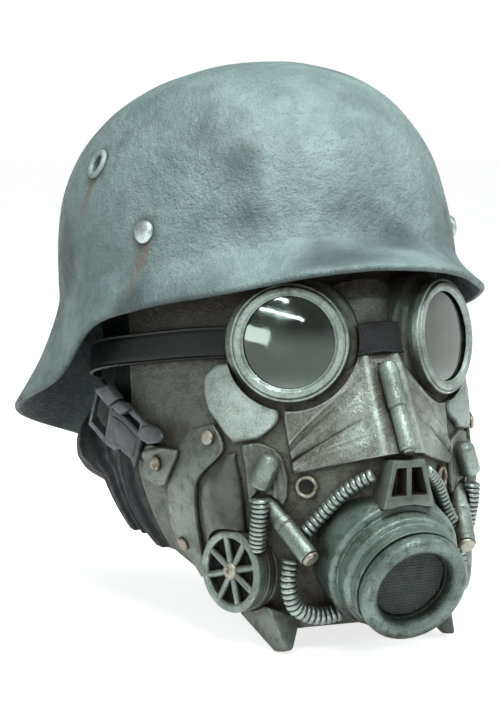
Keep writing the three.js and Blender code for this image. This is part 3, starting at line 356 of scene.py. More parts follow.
def tidy(ob, sharp=40, keep_largest=False):
    """Welds, turns faces out, keeps the largest island if asked, and sets smooth shading with sharp edges."""
    bm = bmesh.new()
    bm.from_mesh(ob.data)
    bmesh.ops.remove_doubles(bm, verts=bm.verts, dist=2e-6)
    bmesh.ops.dissolve_degenerate(bm, edges=bm.edges, dist=1e-7)
    if keep_largest:
        islands, seen = [], set()
        for start in bm.faces:
            if start in seen:
                continue
            island, queue = [], [start]
            seen.add(start)
            while queue:
                face = queue.pop()
                island.append(face)
                for edge in face.edges:
                    for other in edge.link_faces:
                        if other not in seen:
                            seen.add(other)
                            queue.append(other)
            islands.append(island)
        islands.sort(key=lambda island: -sum(f.calc_area() for f in island))
        loose = [face for island in islands[1:] for face in island]
        bmesh.ops.delete(bm, geom=loose, context="FACES")
    bmesh.ops.recalc_face_normals(bm, faces=bm.faces)
    for face in bm.faces:
        face.smooth = True
    limit = math.radians(sharp)
    for edge in bm.edges:
        edge.smooth = len(edge.link_faces) != 2 or edge.calc_face_angle(0) < limit
    bm.to_mesh(ob.data)
    bm.free()


def carve(ob, *tools, operation="DIFFERENCE"):
    for tool in tools:
        cutter = ob.modifiers.new("cut", "BOOLEAN")
        cutter.operation, cutter.solver, cutter.object = operation, "EXACT", tool
        cutter.material_mode = "TRANSFER"
    bake(ob)


def show(ob, slot, *nodes, sharp=40, keep_largest=False):
    tidy(ob, sharp, keep_largest)
    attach(ob, "root")
    if nodes:
        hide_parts(*nodes)
    return ob


def quads(rows, cols, start=0, wrap=False):
    span = cols if wrap else cols - 1
    return [(start + r * cols + c, start + (r + 1) * cols + c, start + (r + 1) * cols + (c + 1) % cols,
             start + r * cols + (c + 1) % cols) for r in range(rows - 1) for c in range(span)]


def solid(name, top, low, material, wrap=False, uv=None):
    """Closed solid between two grids of points whose borders are joined."""
    rows, cols = top.shape[:2]
    n = rows * cols
    faces = quads(rows, cols, 0, wrap) + [f[::-1] for f in quads(rows, cols, n, wrap)]
    for c in range(cols if wrap else cols - 1):
        d = (c + 1) % cols
        faces.append((c, d, n + d, n + c))
        e = (rows - 1) * cols
        faces.append((e + c, n + e + c, n + e + d, e + d))
    for r in range(0 if wrap else rows - 1):
        faces.append((r * cols, n + r * cols, n + (r + 1) * cols, (r + 1) * cols))
        e = cols - 1
        faces.append((r * cols + e, (r + 1) * cols + e, n + (r + 1) * cols + e, n + r * cols + e))
    points = np.concatenate([top.reshape(-1, 3), low.reshape(-1, 3)])
    both = None if uv is None else np.concatenate([uv.reshape(-1, 2)] * 2)
    return object_of(name, points, faces, material, both)


def stations(length, edge, count):
    """Distances along an edge-rounded strip, close together near both ends."""
    near = np.minimum(edge, length * 0.45) * (1 - np.cos(np.linspace(0, math.pi / 2, 5)))
    inner = np.linspace(near[-1], length - near[-1], count + 2)[1:-1]
    return np.concatenate([near, inner, length - near[::-1]])


def rounding(distances, length, edge):
    reach = min(edge, length * 0.45)
    k = np.clip(1 - np.minimum(distances, length - distances) / reach, 0, 1)
    return np.sqrt(1 - k * k)


def form_plate(name, rows, x, material, high, low=REST, crown=0.0, edge=1.2, across=24, down=None,
               soft=False, relief=None):
    """Round-edged plate on the form; rows are height, from and to."""
    rows = np.array(rows, float)
    tall = abs(rows[-1, 0] - rows[0, 0])
    run = stations(tall, edge, down or int(tall / 1.4))
    z = rows[0, 0] - run
    if soft:
        outline = along(rows[::-1], z)
    else:
        outline = np.stack([np.interp(z, rows[::-1, 0], rows[::-1, i]) for i in (1, 2)], -1)
    start, end = outline[:, 0], outline[:, 1]
    width = np.linalg.norm(form(end, z) - form(start, z), axis=-1)
    t = np.stack([stations(w, edge, across) / w for w in width])
    f = np.stack([rounding(stations(w, edge, across), w, edge) for w in width])
    f = f * rounding(run, tall, edge)[:, None]
    u = start[:, None] + (end - start)[:, None] * t
    zz = np.broadcast_to(z[:, None], u.shape)
    s = (run / tall)[:, None]
    swell = crown * np.minimum(1, 4 * t * (1 - t)) * np.minimum(1, np.sin(math.pi * s) * 1.4)
    lift = low + (high - low) * f + swell * f
    if relief is not None:
        lift = lift + relief(u, zz, s, t) * f
    return solid(name, form(x * u, zz, lift), form(x * u, zz, low + 0 * u), material)


def form_tile(name, u, z, width, height, x, material, low, high, turn=0, edge=1.0, cells=(10, 10),
              shape=None, relief=None, uv=False):
    """Round-edged tile wrapped on the form; shape gives the half width at each height, as shares."""
    a, b = stations(width, edge, cells[0]), stations(height, edge, cells[1])
    f = rounding(b, height, edge)[:, None] * rounding(a, width, edge)[None, :]
    aa, bb = np.meshgrid(a - width / 2, b - height / 2)
    if shape is not None:
        aa = aa * shape(bb / height * 2)
    c, s = math.cos(math.radians(turn)), math.sin(math.radians(turn))
    pu, pz = form_shift(u, z, aa * c - bb * s, aa * s + bb * c)
    lift = low + (high - low) * f
    if relief is not None:
        lift = lift + relief(aa, bb) * f
    marks = np.stack([aa, bb], -1) * 0.001 if uv else None
    return solid(name, form(x * pu, pz, lift), form(x * pu, pz, low + 0 * pu), material, uv=marks)


def curve_points(points, count):
    """Even points on a smooth curve through the given ones."""
    p = np.asarray(points, float)
    ends = np.concatenate([[2 * p[0] - p[1]], p, [2 * p[-1] - p[-2]]])
    t = np.linspace(0, len(p) - 1, 40 * len(p))
    k = np.minimum(t.astype(int), len(p) - 2)
    s = (t - k)[:, None]
    p0, p1, p2, p3 = ends[k], ends[k + 1], ends[k + 2], ends[k + 3]
    q = 0.5 * (2 * p1 + (p2 - p0) * s + (2 * p0 - 5 * p1 + 4 * p2 - p3) * s ** 2
               + (3 * p1 - p0 - 3 * p2 + p3) * s ** 3)
    length = np.concatenate([[0], np.cumsum(np.linalg.norm(np.diff(q, axis=0), axis=1))])
    even = np.linspace(0, length[-1], count)
    return np.stack([np.interp(even, length, q[:, i]) for i in range(3)], -1), length[-1]


def tube(name, line, radii, material, segments=24):
    """Closed tube with a radius for each point of a line."""
    line = np.asarray(line, float)
    tangent = unit(np.gradient(line, axis=0))
    normal = unit(np.cross(tangent[0], (0.3, 0.5, 0.8)))
    rings = []
    angle = np.linspace(0, 2 * math.pi, segments, endpoint=False)[:, None]
    for centre, direction, radius in zip(line, tangent, radii):
        normal = unit(normal - direction * np.dot(normal, direction))
        other = np.cross(direction, normal)
        rings.append(centre + radius * (np.cos(angle) * normal + np.sin(angle) * other))
    points = np.concatenate(rings)
    n = len(points)
    faces = quads(len(line), segments, 0, True)
    faces += [(n, (k + 1) % segments, k) for k in range(segments)]
    last = n - segments
    faces += [(n + 1, last + k, last + (k + 1) % segments) for k in range(segments)]
    return object_of(name, np.concatenate([points, [line[0], line[-1]]]), faces, material)


def turned(name, profile, centre, axis, material, segments=96, fillet=0.5):
    """Turned solid from rows of radius and distance along the axis, its corners rounded."""
    profile = [np.array(p, float) for p in profile]
    closed = np.allclose(profile[0], profile[-1])
    if closed:
        profile = profile[:-1]
    rounded = []
    count = len(profile)
    for i, p in enumerate(profile):
        if not closed and i in (0, count - 1):
            rounded.append(p)
            continue
        before, after = profile[i - 1] - p, profile[(i + 1) % count] - p
        lb, la = np.linalg.norm(before), np.linalg.norm(after)
        d = min(fillet, lb * 0.42, la * 0.42)
        start, end = p + before / lb * d, p + after / la * d
        for t in (0, 0.25, 0.5, 0.75, 1):
            rounded.append((1 - t) ** 2 * start + 2 * t * (1 - t) * p + t * t * end)
    if closed:
        rounded.append(rounded[0])
    w = unit(np.asarray(axis, float))
    a = unit(np.cross(w, (0.2, 0.1, 1)))
    b = np.cross(w, a)
    angle = np.linspace(0, 2 * math.pi, segments, endpoint=False)[:, None]
    rings = [np.asarray(centre) + w * s + r * (np.cos(angle) * a + np.sin(angle) * b) for r, s in rounded]
    return object_of(name, np.concatenate(rings), quads(len(rings), segments, 0, True), material)


def round_off(ob, width, segments=3, angle=30):
    bevel = ob.modifiers.new("edge", "BEVEL")
    bevel.width, bevel.segments = width * 0.001, segments
    bevel.limit_method, bevel.angle_limit = "ANGLE", math.radians(angle)
    bake(ob)


def prism(name, outline, place, low, high, material):
    """Straight-sided solid: an outline in the first two axes of a place, between two heights on the third."""
    origin, a, b, out = place
    ring = np.array([origin + a * s + b * t for s, t in outline])
    n = len(ring)
    faces = [tuple(range(n)), tuple(range(2 * n - 1, n - 1, -1))]
    faces += [(k, n + k, n + (k + 1) % n, (k + 1) % n) for k in range(n)]
    made = object_of(name, np.concatenate([ring + out * low, ring + out * high]), faces, material)
    tidy(made, 20)
    return made


def mirror(ob):
    ob.data.transform(Matrix.Scale(-1, 4, (1, 0, 0)))
    ob.data.flip_normals()


def merged(ob, *others):
    """Joins the meshes of the other objects into the first."""
    slots = list(ob.data.materials)
    bm = bmesh.new()
    bm.from_mesh(ob.data)
    for other in others:
        start = len(bm.faces)
        bm.from_mesh(other.data)
        for m in other.data.materials:
            if m not in slots:
                slots.append(m)
                ob.data.materials.append(m)
        bm.faces.ensure_lookup_table()
        for face in bm.faces[start:]:
            face.material_index = slots.index(other.data.materials[face.material_index])
    bm.to_mesh(ob.data)
    bm.free()
    for other in others:
        bpy.data.objects.remove(other)
    return ob


# Finishes
def helmet_marks(f, colour):
    """Rust below the eyelet and the rivet, and a dark halo round both."""
    for x in (RIGHT, LEFT):
        for azimuth, height, halo in ((EYELET_AT[0], EYELET_AT[1], 15), (RIVET_AT[0], RIVET_AT[1], 13)):
            centre = row(helmet_place(-x * azimuth, height)[0])[0]
            away = f.vector("SUBTRACT", f.place, tuple(centre))
            near = f.span(f.vector("LENGTH", away), 0.007, halo * 0.001, 1.0, 0.0)
            colour = f.mix(colour, (0.05, 0.06, 0.058), f.math("MULTIPLY", near, 0.55))
            parts = f.node("ShaderNodeSeparateXYZ")
            f.feed(parts.inputs[0], away)
            drift = f.math("MULTIPLY", f.math("SUBTRACT", f.noise(60, 2), 0.5), 0.012)
            along_y = f.math("ABSOLUTE", f.math("ADD", parts.outputs["Y"], drift))
            streak = f.math("MULTIPLY", f.span(along_y, 0.0008, 0.005, 1.0, 0.0),
                            f.span(parts.outputs["Z"], -0.045, -0.008))
            streak = f.math("MULTIPLY", streak, f.span(parts.outputs["Z"], 0.0, -0.006))
            close = f.span(f.math("ABSOLUTE", parts.outputs["X"]), 0.03, 0.05, 1.0, 0.0)
            streak = f.math("MULTIPLY", f.math("MULTIPLY", streak, close), 0.7)
            colour = f.mix(colour, (0.16, 0.11, 0.075), streak)
    return colour


def helmet_place(azimuth, height):
    """Point and outward direction of the helmet at an azimuth and a height."""
    low, high = 0.0, 1.0
    at = lambda a, t: helmet_points(np.array(float(a)), np.array(t))
    for _ in range(30):
        t = (low + high) / 2
        if at(azimuth, t)[2] > height:
            low = t
        else:
            high = t
    p = at(azimuth, low)
    out = np.cross(at(azimuth + 1, low) - at(azimuth - 1, low), at(azimuth, low + 0.02) - at(azimuth, low - 0.02))
    out = unit(out)
    return p, out if np.dot(out[:2], p[:2]) > 0 else -out


EYELET_AT, RIVET_AT = (74, 110), (52, 60)


def smudges(f, colour):
    soft = f.span(f.noise(15, 2, 0.45), 0.46, 0.66)
    colour = f.mix(colour, (0.036, 0.05, 0.052), f.math("MULTIPLY", soft, 0.8))
    return helmet_marks(f, colour)


def brow_shade(f, colour):
    """Leathery brown cheeks below, and painted shade on the brow under the helmet: the colour turns nearly black
    towards the top.
    """
    parts = f.node("ShaderNodeSeparateXYZ")
    f.feed(parts.inputs[0], f.place)
    high = f.span(parts.outputs["Z"], -0.165, -0.135)
    # Painted shade under the helmet: darker above this height.
    return f.mix(colour, (0.02, 0.022, 0.021), f.math("MULTIPLY", high, 0.75))


helmet_paint = aged_with_painted_light("helmet_paint", (0.13, 0.186, 0.182), (0.22, 0.295, 0.29), (0.04, 0.052, 0.05), 0.08, 0.54,
                    grain=0.0009, shade_and_dirt_wash=0.85, speck=0.3, reach=0.03, fine=760, blotch=0.14, extra=smudges)
pewter = aged_with_painted_light("pewter_paint", (0.155, 0.186, 0.163), (0.37, 0.435, 0.40), BROWN, 0.65, 0.37,
              grain=0.0003, shade_and_dirt_wash=1.0, speck=0.4, reach=0.02, blotch=0.3)
old_pewter = aged_with_painted_light("old_pewter_paint", (0.088, 0.104, 0.088), (0.205, 0.24, 0.208), BROWN, 0.55, 0.4,
                  grain=0.0003, shade_and_dirt_wash=1.0, speck=0.35, reach=0.02, seed=0.3)
satin = aged_with_painted_light("muzzle_paint", (0.088, 0.115, 0.103), (0.225, 0.29, 0.265), (0.016, 0.014, 0.01), 0.6, 0.36,
             grain=0.0004, shade_and_dirt_wash=1.0, speck=0.4, reach=0.034, low=0.45, seed=0.5, blotch=0.5)
eyelet_paint = aged_with_painted_light("eyelet_paint", (0.2, 0.25, 0.24), (0.34, 0.41, 0.395), (0.03, 0.036, 0.034), 0.3, 0.42,
                    grain=0.0003, shade_and_dirt_wash=1.0, speck=0.3, reach=0.012, seed=4.6, blotch=0.2)
guard_paint = aged_with_painted_light("guard_paint", (0.27, 0.315, 0.295), (0.50, 0.555, 0.53), BROWN, 0.45, 0.44,
                   grain=0.0004, shade_and_dirt_wash=1.0, speck=0.45, reach=0.012, seed=3.7, blotch=0.22)
# The nose cover gets a strong painted highlight on its pleat ridges and deep painted shade in its pleat valleys.
fold_paint = aged_with_painted_light("fold_paint", (0.12, 0.124, 0.104), (0.36, 0.405, 0.37), BROWN, 0.5, 0.4,
                  grain=0.0005, shade_and_dirt_wash=1.0, speck=0.45, reach=0.03, fine=900, seed=4.1, blotch=0.4,
                  edge_highlight_span=(0.502, 0.53))
leather = aged_with_painted_light("cheek_paint", (0.062, 0.071, 0.056), (0.14, 0.155, 0.128), BROWN, 0.3, 0.48,
               grain=0.0006, shade_and_dirt_wash=0.95, speck=0.55, reach=0.026, fine=800, seed=0.6, extra=brow_shade)
hollow_paint = aged_with_painted_light("recess_paint", (0.042, 0.047, 0.038), (0.105, 0.113, 0.093), (0.012, 0.009, 0.006), 0.5, 0.36,
                    grain=0.0002, shade_and_dirt_wash=0.9, speck=0.2, reach=0.02, seed=0.9)
hose_paint = aged_with_painted_light("hose_paint", (0.16, 0.185, 0.172), (0.38, 0.43, 0.405), (0.005, 0.005, 0.005), 0.7, 0.32,
                  grain=0.00012, shade_and_dirt_wash=1.0, speck=0.2, reach=0.0045, low=0.5, seed=1.2)
copper = aged_with_painted_light("rivet_paint", (0.25, 0.225, 0.18), (0.42, 0.40, 0.345), (0.07, 0.034, 0.018), 0.6, 0.42,
              grain=0.0003, shade_and_dirt_wash=0.95, speck=0.5, reach=0.008, seed=1.5, blotch=0.8)
bright = aged_with_painted_light("bright_rivet_paint", (0.36, 0.42, 0.41), (0.55, 0.61, 0.60), (0.06, 0.055, 0.045), 0.75, 0.34,
              grain=0.0002, shade_and_dirt_wash=0.9, speck=0.35, reach=0.006, seed=1.8)
rubber = aged_with_painted_light("hood_rubber", (0.005, 0.0068, 0.0066), (0.014, 0.018, 0.0175), (0.002, 0.003, 0.003), 0.0, 0.5,
              grain=0.0003, shade_and_dirt_wash=0.9, speck=0.2, reach=0.02, fine=700, seed=2.1, shine=0.12)
plastic = aged_with_painted_light("buckle_plastic", (0.024, 0.033, 0.034), (0.05, 0.063, 0.064), (0.006, 0.008, 0.008), 0.0, 0.42,
               grain=0.00012, shade_and_dirt_wash=0.8, speck=0.15, reach=0.008, seed=2.4)
# Painted shade: near-black for discs that stand in for the shade inside holes and hollows.
painted_shade_black = aged_with_painted_light("painted_shade_black", (0.004, 0.004, 0.004), (0.009, 0.009, 0.008), (0.002, 0.002, 0.002), 0.0, 0.85,
            grain=0.0002, shade_and_dirt_wash=0.5, speck=0.2, reach=0.01, seed=3.3)
inside = aged_with_painted_light("bare_inside", (0.03, 0.032, 0.03), (0.05, 0.052, 0.048), (0.012, 0.012, 0.011), 0.0, 0.75,
              grain=0.0004, shade_and_dirt_wash=0.5, speck=0.3, reach=0.03, seed=2.7)


def woven(name, base, light, thread, roughness):
    """Ribbed band: threads run across and along the UV of the strap."""
    f = Finish(name)
    uv = f.node("ShaderNodeTexCoord").outputs["UV"]
    parts = f.node("ShaderNodeSeparateXYZ")
    f.feed(parts.inputs[0], uv)
    wave = [f.math("SINE", f.math("MULTIPLY", parts.outputs[k], 2 * math.pi / step))
            for k, step in (("X", thread), ("Y", thread * 1.6))]
    height = f.math("MULTIPLY", wave[0], wave[1])
    wear = f.noise(220, 4, 0.65)
    colour = f.mix(base, light, f.span(height, -0.2, 1.0, 0.0, 0.6))
    colour = f.mix(colour, light, f.math("MULTIPLY", f.span(wear, 0.55, 0.75), 0.6))
    # Painted shade: near-black in the corners found by ambient occlusion.
    colour = f.mix(colour, (0.003, 0.003, 0.003), f.math("MULTIPLY", f.occlusion_shade(0.01, 0.35, 0.95), 0.8))
    normal = f.bump(height, 0.0002, 0.8, f.bump(wear, 0.0003, 0.6))
    return f.done(colour, f.span(wear, 0.3, 0.7, roughness - 0.08, roughness + 0.08), normal,
                  **{"Specular IOR Level": 0.25})


band = woven("elastic_band", (0.003, 0.004, 0.004), (0.012, 0.014, 0.014), 0.0012, 0.42)
webbing = woven("webbing_weave", (0.005, 0.0065, 0.0065), (0.018, 0.021, 0.021), 0.0016, 0.55)


def smoked():
    f = Finish("smoked_lens")
    haze = f.noise(45, 3, 0.6)
    colour = f.mix((0.010, 0.013, 0.011), (0.036, 0.042, 0.036), f.span(haze, 0.4, 0.7))
    dust = f.noise(900, 2, 0.6)
    rough = f.math("ADD", f.span(haze, 0.35, 0.7, 0.03, 0.09), f.math("MULTIPLY", f.span(dust, 0.6, 0.8), 0.1))
    return f.done(colour, rough, f.bump(haze, 0.0004, 0.25), 0.0,
                  **{"IOR": 1.8, "Coat Weight": 0.8, "Coat Roughness": 0.02, "Specular Tint": (0.82, 1.0, 0.9, 1.0)})


glass = smoked()
gauze = aged_with_painted_light("gauze_wire", (0.055, 0.068, 0.063), (0.11, 0.13, 0.12), (0.014, 0.016, 0.015), 0.3, 0.5,
             grain=0.0001, shade_and_dirt_wash=0.7, speck=0.2, reach=0.002, seed=3.0)


# Tools that cut room for the pieces that stand through or on others
def cylinder(radius, start, end, origin, axis, segments=96):
    made = turned("tool", [(0, start), (radius, start), (radius, end), (0, end)], origin, axis, None, segments, 0)
    tidy(made)
    return made


def goggle_axis(x):
    outward, down = math.radians(33), math.radians(7)
    return np.array([x * math.sin(outward) * math.cos(down), -math.cos(outward) * math.cos(down), -math.sin(down)])


def mirrored(point, x):
    return np.array([point[0] * x, point[1], point[2]], float)


GOGGLE = {"centre": (47.9, -140, -14.7), "bore": 24, "barrel": 29, "flange": 36, "back": 45}
MUZZLE = {"centre": (0, -138.5, -135.5), "flange": 37.6, "bore": 20.7, "back": 50}
muzzle_axis = np.array([0, -math.cos(math.radians(36)), -math.sin(math.radians(36))])
FILTER = {"centre": (72.3, -86.9, -128.2), "axis": (0.945, -0.315, -0.084), "radius": 22.4, "back": 34}
PIPE_START, PIPE_END, PIPE_RADIUS = (57.9, -111.2, -94.4), (46.3, -135.1, -128.7), 5.3
NOSE_TOP, NOSE_END = np.array([0, -155.2, -29.0]), np.array([0, -169, -80.0])
FACE_HEM = np.array([(0, -160), (1, -162), (1.6, -158), (2.4, -129), (2.72, -108)])
EDGE, FACE_TOP = 2.72, 46


def face_grid(lift, drop, columns, rows):
    u = np.linspace(-EDGE, EDGE, columns)[None, :]
    hem = np.interp(np.abs(u), FACE_HEM[:, 0], FACE_HEM[:, 1]) - drop
    z = FACE_TOP + (hem - FACE_TOP) * np.linspace(0, 1, rows)[:, None]
    u = np.broadcast_to(u, z.shape)
    return form(u, z, lift), u, z


def face_block(lift, drop):
    made = solid("tool", face_grid(lift, drop, 73, 41)[0], face_grid(-30, drop, 73, 41)[0], None)
    tidy(made)
    return made


seat, hem_seat = face_block(GAP, 0), face_block(2 * GAP, 1.5)
flange_tool = {x: cylinder(GOGGLE["flange"] + GAP, -65, 20, mirrored(GOGGLE["centre"], x), goggle_axis(x))
               for x in (RIGHT, LEFT)}
filter_tool = {x: cylinder(FILTER["radius"] + 2 * GAP, -FILTER["back"], 10, mirrored(FILTER["centre"], x),
                           mirrored(FILTER["axis"], x)) for x in (RIGHT, LEFT)}
pipe_tool = {x: cylinder(PIPE_RADIUS + 2 * GAP, -5, 60, mirrored(PIPE_START, x),
                         mirrored(PIPE_END, x) - mirrored(PIPE_START, x)) for x in (RIGHT, LEFT)}
muzzle_tool = cylinder(MUZZLE["flange"] + GAP, -MUZZLE["back"], 30, MUZZLE["centre"], muzzle_axis)


# Helmet
def helmet():
    columns, t = 192, np.concatenate([np.linspace(0.04, 1, 44), np.linspace(1, 1.955, 26)[1:]])
    azimuth = np.linspace(-180, 180, columns, endpoint=False)
    a, tt = np.meshgrid(azimuth, t)
    outer = helmet_points(a, tt)
    around = helmet_points(a + 0.5, tt) - helmet_points(a - 0.5, tt)
    down = helmet_points(a, tt + 0.004) - helmet_points(a, tt - 0.004)
    normal = unit(np.cross(around, down))
    normal *= np.sign(np.sum(normal * outer * (1, 1, 0.5), -1, keepdims=True))
    wobble = (np.sin(outer[..., 0] * 0.06 + 1) * np.sin(outer[..., 1] * 0.05) * np.sin(outer[..., 2] * 0.07)
              + 0.6 * np.sin(outer[..., 0] * 0.13) * np.sin(outer[..., 1] * 0.11 + 2) * np.cos(outer[..., 2] * 0.12))
    crease = np.exp(-((tt - 1.0) / 0.05) ** 2)
    outer = outer + normal * (0.45 * wobble + 0.5 * crease)[..., None]
    tangent = unit(np.cross(np.cross(normal[-1], down[-1]), normal[-1]))
    middle = outer[-1] - normal[-1] * WALL / 2
    lip = [middle + normal[-1] * WALL / 2 * math.cos(p) + tangent * WALL / 2 * math.sin(p)
           for p in np.linspace(0, math.pi, 9)[1:-1]]
    inner = (outer - normal * WALL)[::-1]
    grid = np.concatenate([outer, np.array(lip), inner])
    rows = len(grid)
    points = grid.reshape(-1, 3)
    faces = quads(rows, columns, 0, True)
    n = len(points)
    top = np.array([[0, 0, CROWN], [0, 0, CROWN - WALL]])
    last = (rows - 1) * columns
    faces += [(n, c, (c + 1) % columns) for c in range(columns)]
    faces += [(n + 1, last + (c + 1) % columns, last + c) for c in range(columns)]
    made = object_of("helmet_dome", np.concatenate([points, top]), faces, helmet_paint)
    tidy(made)
    tools = []
    for x in (RIGHT, LEFT):
        p, out = helmet_place(-x * EYELET_AT[0], EYELET_AT[1])
        q, straight = helmet_place(-x * RIVET_AT[0], RIVET_AT[1])
        tools += [cylinder(9.2, -1.2, 6, p, out, 48), cylinder(6.75, -12, 2, p, out, 48),
                  cylinder(6.95, -1.2, 6, q, straight, 48)]
        show(turned(f"eyelet_{NAMES[x]}", [
            (5, -5), (6.4, -5), (6.4, -0.85), (9, -0.85), (8.9, 0.6), (8.2, 1.7), (7, 2.2), (5.8, 1.7), (5, 0.6),
            (5, -5)], p, out, eyelet_paint, 64, 0.6), "helmet", f"vent_eyelet_{NAMES[x]}", sharp=60)
        show(turned(f"dome_rivet_{NAMES[x]}", [
            (0, -0.85), (6.6, -0.85), (6.6, 0.4), (6.1, 1.4), (4.6, 2.6), (2.4, 3.2), (0, 3.4)],
            q, straight, bright, 64, 0.4), "rivet_metal", f"helmet_rivet_{NAMES[x]}", sharp=60)
    carve(made, *tools)
    for tool in tools:
        bpy.data.objects.remove(tool)
    show(made, "helmet", "helmet_shell", sharp=50)


helmet()


# Face shell and hood
def face():
    top, u, z = face_grid(0, 0, 181, 121)
    wrinkle = (np.sin(u * 9 + z * 0.11) * np.sin(z * 0.09 + u * 3) + 0.6 * np.sin(u * 17 - z * 0.07)) * 0.22
    top = form(u, z, wrinkle)
    low = face_grid(-3, 0, 181, 121)[0]
    made = solid("face_skin", top, low, leather)
    tidy(made)
    tools = [cylinder(GOGGLE["bore"], -60, 10, mirrored(GOGGLE["centre"], x), goggle_axis(x)) for x in (RIGHT, LEFT)]
    tools.append(cylinder(MUZZLE["bore"], -60, 10, MUZZLE["centre"], muzzle_axis))
    carve(made, *tools)
    for tool in tools:
        bpy.data.objects.remove(tool)
    show(made, "mask_shell", "face_shell", keep_largest=True)


face()


def hood():
    half = np.concatenate([[EDGE - 0.18], np.linspace(EDGE, 5, 150)])
    u = np.concatenate([half, -half[:-1][::-1]])[None, :]
    v = np.abs(u)
    hem = np.interp(v, (2.5, 3, 3.6, 4.3, 5), (-118, -108, -92, -80, -74))
    z = FACE_TOP + (hem - FACE_TOP) * np.linspace(0, 1, 91)[:, None]
    u, v = np.broadcast_to(u, z.shape), np.broadcast_to(v, z.shape)
    free = smooth((v - EDGE - 0.06) / 0.3) * smooth((10 - z) / 60)
    phase = 2 * math.pi * 4 * (v - 3) / 2 + 0.35 * np.sin(z * 0.09 + v * 2)
    fold = 2.0 * np.cos(phase) + 0.9 * np.cos(2.03 * phase + 0.6 + z * 0.02) + 0.5 * np.cos(4.1 * phase + z * 0.05)
    gather = 1.2 * smooth((v - 2.85) / 0.2) * smooth((3.6 - v) / 0.4) * np.sin(z * 0.42 + v * 9) * \
        smooth((z + 62) / 14) * smooth((-20 - z) / 14)
    bulge = 15 * smooth((v - 3.05) / 0.8) * smooth((z + 64) / 22) * smooth((-8 - z) / 28)
    tucked = 2.2 * np.maximum(0, (EDGE - v) / 0.18)
    lift = free * (fold - 0.3) + bulge + gather * free - tucked - 3 - GAP - 0.5
    made = solid("hood_folds", form(u, z, lift), form(u, z, lift - 2), rubber)
    show(made, "hood_rubber", "hood", sharp=70)


hood()


# Goggles
def goggles(x):
    name, centre, axis = NAMES[x], mirrored(GOGGLE["centre"], x), goggle_axis(x)
    cup = turned(f"goggle_cup_{name}", [
        (24, -45), (36, -45), (36, -14.2), (34.9, -12.6), (32.6, -11.4), (31.4, -10.2), (30.9, -8.6), (30.9, -6),
        (24, -6), (24, -45)], centre, axis, old_pewter, 96, 0.8)
    tidy(cup)
    carve(cup, seat)
    show(cup, "dark_pewter", f"eyecup_{name}", sharp=60, keep_largest=True)
    dome = [(r, -1.9 - 1.7 * (r / 27.8) ** 2) for r in np.linspace(0, 27.8, 15)]
    show(turned(f"goggle_glass_{name}", [(0, -5.5), (27.8, -5.5)] + dome[::-1], centre, axis, glass, 96, 0),
         "lens", f"lens_{name}")
    show(turned(f"goggle_ring_{name}", [
        (28.2, -5.6), (31.5, -5.6), (31.5, -2.2), (31.1, -1.5), (30.2, -1.3), (29.9, -1.6), (29.6, -0.9),
        (28.9, -0.1), (28, 0), (26.6, 0), (25.7, -0.5), (25.1, -1.3), (24.4, -1.5), (24.3, -2.1),
        (28.2, -3.2), (28.2, -5.6)], centre, axis, pewter, 128, 0.35),
        "pewter", f"bezel_{name}", sharp=70)


# Straps
STRAP_PATH = np.array([(1.5, -9, 0), (1.75, -7.5, 0), (2.29, -2, 0), (3, 6.5, 0), (3.6, 11, 0),
                       (4.3, 13, 0), (5, 14, 0)], float)


def goggle_strap():
    path = STRAP_PATH * (40, 1, 1)
    half, _ = curve_points(path, 90)
    u, z = half[:, 0] / 40, half[:, 1]
    u, z = np.concatenate([u, -u[:-1][::-1]]), np.concatenate([z, z[:-1][::-1]])
    width, thick, low = 18, 2, REST + 0.4
    cross = stations(width, 0.8, 13)
    f = rounding(cross, width, 0.8)
    s = np.abs(cross - width / 2)
    groove = -0.45 * np.exp(-((s - 7.2) / 0.35) ** 2) + 0.25 * (s > 7.4)
    lift = low + (thick + groove) * f
    uu, zz = u[:, None] + 0 * cross, z[:, None] + cross - width / 2
    distance = np.concatenate([[0], np.cumsum(np.linalg.norm(np.diff(form(u, z), axis=0), axis=1))])
    uv = np.stack(np.broadcast_arrays(distance[:, None] * 0.001, cross * 0.001), -1)
    made = solid("elastic_strap", form(uu, zz, lift), form(uu, zz, low), band, uv=uv)
    tidy(made)
    carve(made, flange_tool[1], flange_tool[-1])
    show(made, "strap_rubber", "goggle_strap", keep_largest=True)


def bridge_strap():
    run, tall = np.linspace(-26, 26, 45), stations(17, 0.7, 11)
    f = rounding(tall, 17, 0.7)
    t, h = np.meshgrid(run / 26, tall)
    fold = 0.5 * np.exp(-((np.abs(h - 8.5) - 6.6) / 0.5) ** 2)
    front = -152.4 + 5 * t * t + 2 * (1 - f[:, None]) - 0.35 * np.cos(t * 9 + h * 0.2) * f[:, None] + fold
    z = -16.3 - 8.5 + h + 0.6 * np.sin(t * 4 + 1)
    top = np.stack([26 * t, front, z], -1)
    low = np.stack([26 * t, -150.4 + 5 * t * t, z], -1)
    uv = np.stack([t * 0.026, h * 0.001], -1)
    made = solid("nose_band", top, low, band, uv=uv)
    tidy(made)
    carve(made, flange_tool[1], flange_tool[-1])
    show(made, "strap_rubber", "bridge_strap", keep_largest=True)


